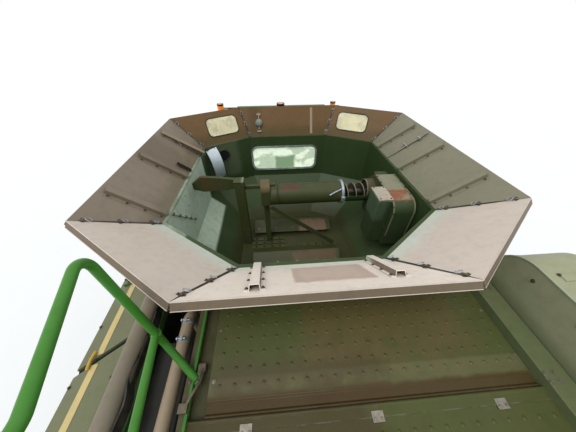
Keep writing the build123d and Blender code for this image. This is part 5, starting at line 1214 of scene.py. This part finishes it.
def wheels():
    """The four lugged tyres, and the nuts and valve of each wheel."""
    for end, (place, radius, width, rim, lugs, lug_height, nut_circle, nuts, face) in WHEELS.items():
        for side, hand in ((-1, "left"), (1, "right")):
            body = end + "_wheel_" + hand
            centre = Vector((side * place[0], place[1], place[2]))
            node = end + "_tyre_" + hand
            tyre_piece(body + "_tyre", node, body, centre, radius, width, rim, lugs, lug_height)
            steel = bmesh.new()
            for y, z in circle(nut_circle, nuts):
                bolt(steel, centre + Vector((side * face, y, z)), (side, 0, 0), 0.016)
            valve = centre + Vector((side * (face + 0.004), 0, rim - 0.070))
            lathe(steel, disc_profile(0.007, 0, 0.05), frame_at(valve, (side, 0, 0.3), (0, 1, 0)), 10)
            piece(body + "_nuts", steel, "steel", body)


# Body, cab and feeder details

BODY_SIDE_X = 0.840


def body_details():
    """Sheet joints and rivet rows on the body, and each side shield's swages and handle."""
    joints, rivets = bmesh.new(), bmesh.new()
    for side in (1, -1):
        x = side * BODY_SIDE_X
        for y in (-2.60, -1.95):
            box(joints, (x - 0.004, x + 0.004), (y - 0.030, y + 0.030), (1.45, 2.20))
        for z in (1.50, 2.16):
            for i in range(20):
                bolt(rivets, (x, -2.90 + 0.085 * i, z), (side, 0, 0), 0.006)
    piece("body_sheet_joints", joints, "green", bevel=0.001)
    piece("body_rivets", rivets, "bolt")
    for end, low, high, foot in (("front", -1.16, 0.28, 1.33), ("rear", -2.96, -1.24, 1.43)):
        for hand, side in (("left", -1), ("right", 1)):
            shield_details("side_shield_" + hand + "_" + end, side, low, high, foot)


def shield_details(name, side, low, high, foot):
    """Three swages and a pull handle on a side shield, which ride on it."""
    swages, handle = bmesh.new(), bmesh.new()
    middle = 0.5 * (low + high)
    half = 0.5 * (high - low) - 0.12
    for z in (2.20, 1.95, 1.70):
        face = side * outer_face(name, side, middle, z)
        ends = ((face, middle - half, z), (face, middle + half, z))
        sweep(swages, ends, band(0.012, 0.050), turn=(0, 0, 1))
    face = side * outer_face(name, side, middle, foot + 0.12)
    box(handle, (face - 0.004, face + 0.004), (middle - 0.07, middle + 0.07), (foot + 0.09, foot + 0.17))
    grip = [(face + side * out, middle + y, foot + 0.13)
            for out, y in ((0, -0.045), (0.022, -0.035), (0.022, 0.035), (0, 0.045))]
    sweep(handle, grip, circle(0.007, 8))
    piece(name + "_swages", swages, "green", name, bevel=0.004)
    piece(name + "_handle", handle, "black", name, bevel=0.001)


def outer_face(node, side, y, z):
    """How far out a node's outer face is at a station and height, found by a ray from the side."""
    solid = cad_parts[node]
    hit, place, _, _ = solid.ray_cast(Vector((side * 4.0, y, z)), Vector((-side, 0, 0)))
    return side * place.x if hit else 1.290


def feeder_details():
    """The conveyor's front drum in the feeder's mouth, with its teeth and slats, and bolts on the sides."""
    drum, bolts = bmesh.new(), bmesh.new()
    y, z = 3.560, 0.985
    tube_about(drum, -0.575, 0.575, 0.130, y, z, 32)
    tooth = ((0.128, 0.150), (-0.011, 0.011))
    slat = ((0.140, 0.178), (-0.004, 0.004))
    for x, half, count, section in ((-0.45, 0.016, 26, tooth), (0.0, 0.016, 26, tooth),
                                    (0.45, 0.016, 26, tooth), (0.0, 0.560, 6, slat)):
        for k in range(count):
            place = Matrix.Translation((0, y, z)) @ Matrix.Rotation(2 * math.pi * k / count, 4, "X")
            box(drum, (x - half, x + half), *section, place)
    piece("feeder_conveyor_drum", drum, "steel", "feeder_house", bevel=0.002)
    outer_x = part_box("feeder_house")[1][0]
    for side in (1, -1):
        for share in (0.2, 0.5, 0.8):
            bolt(bolts, (side * outer_x, 1.95 + 1.75 * share, 1.40 - 0.36 * share), (side, 0, 0), 0.014)
    piece("feeder_bolts", bolts, "bolt", "feeder_house")


def plate(bm, half_x, half_y, low, high, place, rise=0.0):
    """A flat plate centred on a frame, or risen along its Y."""
    box(bm, (-half_x, half_x), (rise - half_y, rise + half_y), (low, high), place)


def lamp_details():
    """Lenses of the beacon, side lamps, work lamps and tail lamps, with dark frames."""
    amber, clear, red, dark = (bmesh.new() for _ in range(4))
    beacon = ((0.0705, 3.565), (0.0705, 3.600), (0.066, 3.645), (0.050, 3.668), (0.020, 3.676), (0, 3.677))
    lathe(amber, beacon, Matrix.Translation((-0.065, 2.360, 0)), 32)
    marker = ((0.0495, 0.004), (0.0495, 0.060), (0.045, 0.082), (0.025, 0.0915), (0, 0.092))
    for place in ((-1.000, 1.945, 3.700), (0.895, 2.570, 3.530)):
        lathe(amber, marker, Matrix.Translation(place), 28)
    roof_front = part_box("cab_roof")[1][1]
    for x in (-0.74, -0.47, -0.20, 0.20, 0.47, 0.74):
        place = frame_at((x, roof_front - 0.012, 3.268), (0, 1, 0), (1, 0, 0))
        plate(dark, 0.062, 0.040, 0.0, 0.014, place)
        plate(clear, 0.054, 0.033, 0.013, 0.018, place)
    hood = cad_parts["straw_hood"]
    for side in (1, -1):
        hit, spot, _, _ = hood.ray_cast(Vector((side * 0.70, -6, 2.20)), Vector((0, 1, 0)))
        y = spot.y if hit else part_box("straw_hood")[0][1]
        place = frame_at((side * 0.70, y, 2.20), (0, -1, 0), (1, 0, 0))
        plate(dark, 0.060, 0.085, -0.010, 0.012, place)
        plate(red, 0.050, 0.035, 0.011, 0.017, place, -0.040)
        plate(amber, 0.050, 0.030, 0.011, 0.017, place, 0.042)
    piece("lamp_frames", dark, "black", bevel=0.003)
    piece("amber_lenses", amber, "amber")
    piece("work_lamp_lenses", clear, "white_lens", bevel=0.003)
    piece("tail_lamp_lenses", red, "red_lens", bevel=0.003)


def cushion(name, matrix, half, crown):
    """A crowned cushion: a rounded closed form whose sides pull in, with sewn channels across it."""
    bm = bmesh.new()
    cells = 22
    grid = {}
    for face in (1, -1):
        for i in range(cells + 1):
            for j in range(cells + 1):
                u, v = 2 * i / cells - 1, 2 * j / cells - 1
                on_edge = abs(u) == 1 or abs(v) == 1
                if face == -1 and on_edge:
                    grid[face, i, j] = grid[1, i, j]
                    continue
                rounding = 1 - 0.14 * abs(u) ** 6 * abs(v) ** 6
                pull = 1 - 0.035 * (1 - u * u) * abs(v) ** 8 - 0.035 * (1 - v * v) * abs(u) ** 8
                height = 0.0
                if not on_edge:
                    dome = (1 - u ** 4) ** 0.45 * (1 - v ** 4) ** 0.45
                    height = face * half[2] * (0.15 + 0.85 * dome)
                    if face == 1:
                        groove = sum(0.007 * math.exp(-((v - g) / 0.045) ** 2) for g in (-0.45, 0.0, 0.45))
                        groove += sum(0.006 * math.exp(-((u - g) / 0.045) ** 2) for g in (-0.68, 0.68))
                        height += (crown - groove) * dome
                grid[face, i, j] = bm.verts.new(matrix @ Vector((
                    half[0] * u * rounding * pull, half[1] * v * rounding * pull, height)))
    for face in (1, -1):
        for i in range(cells):
            for j in range(cells):
                corners = [grid[face, i + a, j + b] for a, b in ((0, 0), (1, 0), (1, 1), (0, 1))]
                bm.faces.new(corners[::face])
    item = piece(name, bm, "cloth", smooth=80)
    modifier = item.modifiers.new("smooth", "SUBSURF")
    modifier.levels = 1
    modifier.render_levels = 1
    return item


def seat():
    """Operator's seat: cushions on a steel pan and pedestal, with armrests."""
    steel = bmesh.new()
    floor = 1.950
    level = Matrix.Translation((0, 2.240, floor + 0.390))
    lean = Matrix.Translation((0, 1.945, floor + 0.760)) @ Matrix.Rotation(math.radians(98), 4, "X")
    low = cushion("seat_cushion", level, (0.250, 0.255, 0.050), 0.010)
    cushion("seat_back_cushion", lean, (0.230, 0.285, 0.045), 0.010)
    box(steel, (-0.150, 0.150), (2.080, 2.400), (floor, floor + 0.035))
    for i in range(6):
        z = floor + 0.035 + 0.036 * i
        box(steel, (-0.135, 0.135), (2.095, 2.385), (z + 0.003, z + 0.033))
    box(steel, (-0.245, 0.245), (1.995, 2.490), (floor + 0.300, floor + 0.342))
    box(steel, (-0.200, 0.200), (-0.250, 0.260), (-0.062, -0.040), lean)
    for side in (1, -1):
        armrest = [(side * x, y, floor + z) for x, y, z in
                   ((0.235, 2.02, 0.33), (0.240, 1.985, 0.58), (0.240, 2.020, 0.62), (0.240, 2.330, 0.62))]
        sweep(steel, armrest, band(0.036, 0.024))
    piece("seat_frame", steel, "black", bevel=0.006)
    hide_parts("operator_seat")


# Camera, light and floor

def studio():
    """The photograph's camera, a soft high sun, a world that looks white, and a pale floor."""
    camera = bpy.data.objects.new("camera", bpy.data.cameras.new("camera"))
    camera.data.sensor_width = SENSOR_WIDTH
    camera.data.lens = LENS_PIXELS / FRAME_WIDTH * SENSOR_WIDTH
    camera.data.clip_end = 200
    camera.location = CAMERA_PLACE
    camera.rotation_euler = (math.radians(CAMERA_PITCH), 0, math.radians(CAMERA_YAW))
    bpy.context.collection.objects.link(camera)
    bpy.context.scene.camera = camera

    sun = bpy.data.objects.new("sun", bpy.data.lights.new("sun", "SUN"))
    sun.data.energy = SUN_STRENGTH
    sun.data.angle = math.radians(35)
    sun.rotation_euler = (math.radians(24), math.radians(-16), 0)
    bpy.context.collection.objects.link(sun)

    world = bpy.data.worlds.new("studio")
    world.use_nodes = True
    tree = world.node_tree
    rays = tree.nodes.new("ShaderNodeLightPath")
    tone = tree.nodes.new("ShaderNodeMix")
    tone.data_type = "RGBA"
    seen = rays.outputs["Is Camera Ray"]
    for ray in ("Is Glossy Ray", "Is Transmission Ray"):
        either = tree.nodes.new("ShaderNodeMath")
        either.operation = "MAXIMUM"
        tree.links.new(seen, either.inputs[0])
        tree.links.new(rays.outputs[ray], either.inputs[1])
        seen = either.outputs[0]
    tree.links.new(seen, tone.inputs["Factor"])
    tone.inputs[6].default_value = (0.78, 0.81, 0.84, 1)
    tone.inputs[7].default_value = (1.0, 1.0, 1.0, 1)
    tree.links.new(tone.outputs[2], tree.nodes["Background"].inputs["Color"])
    bpy.context.scene.world = world

    mesh = bpy.data.meshes.new("floor")
    corners = [(60 * x, 60 * y, 0) for x, y in ((-1, -1), (1, -1), (1, 1), (-1, 1))]
    mesh.from_pydata(corners, [], [(0, 1, 2, 3)])
    floor = bpy.data.objects.new("floor", mesh)
    bpy.context.collection.objects.link(floor)
    g = Graph("pale_floor")
    tone = g.mix(g.noise(0.8, 5), (0.80, 0.80, 0.79), (0.84, 0.84, 0.83))
    mesh.materials.append(g.set(Base_Color=tone, Roughness=0.9))
    bpy.context.scene.view_settings.view_transform = "Standard"


for build in (extension, seams, stays, filling_auger, elevator, covers, tank_walls, corner_windows, deck,
              rear_cover, housing, rotary_screen, flanks, pipe_and_rail, wheels, body_details,
              feeder_details, lamp_details, seat, studio):
    build()
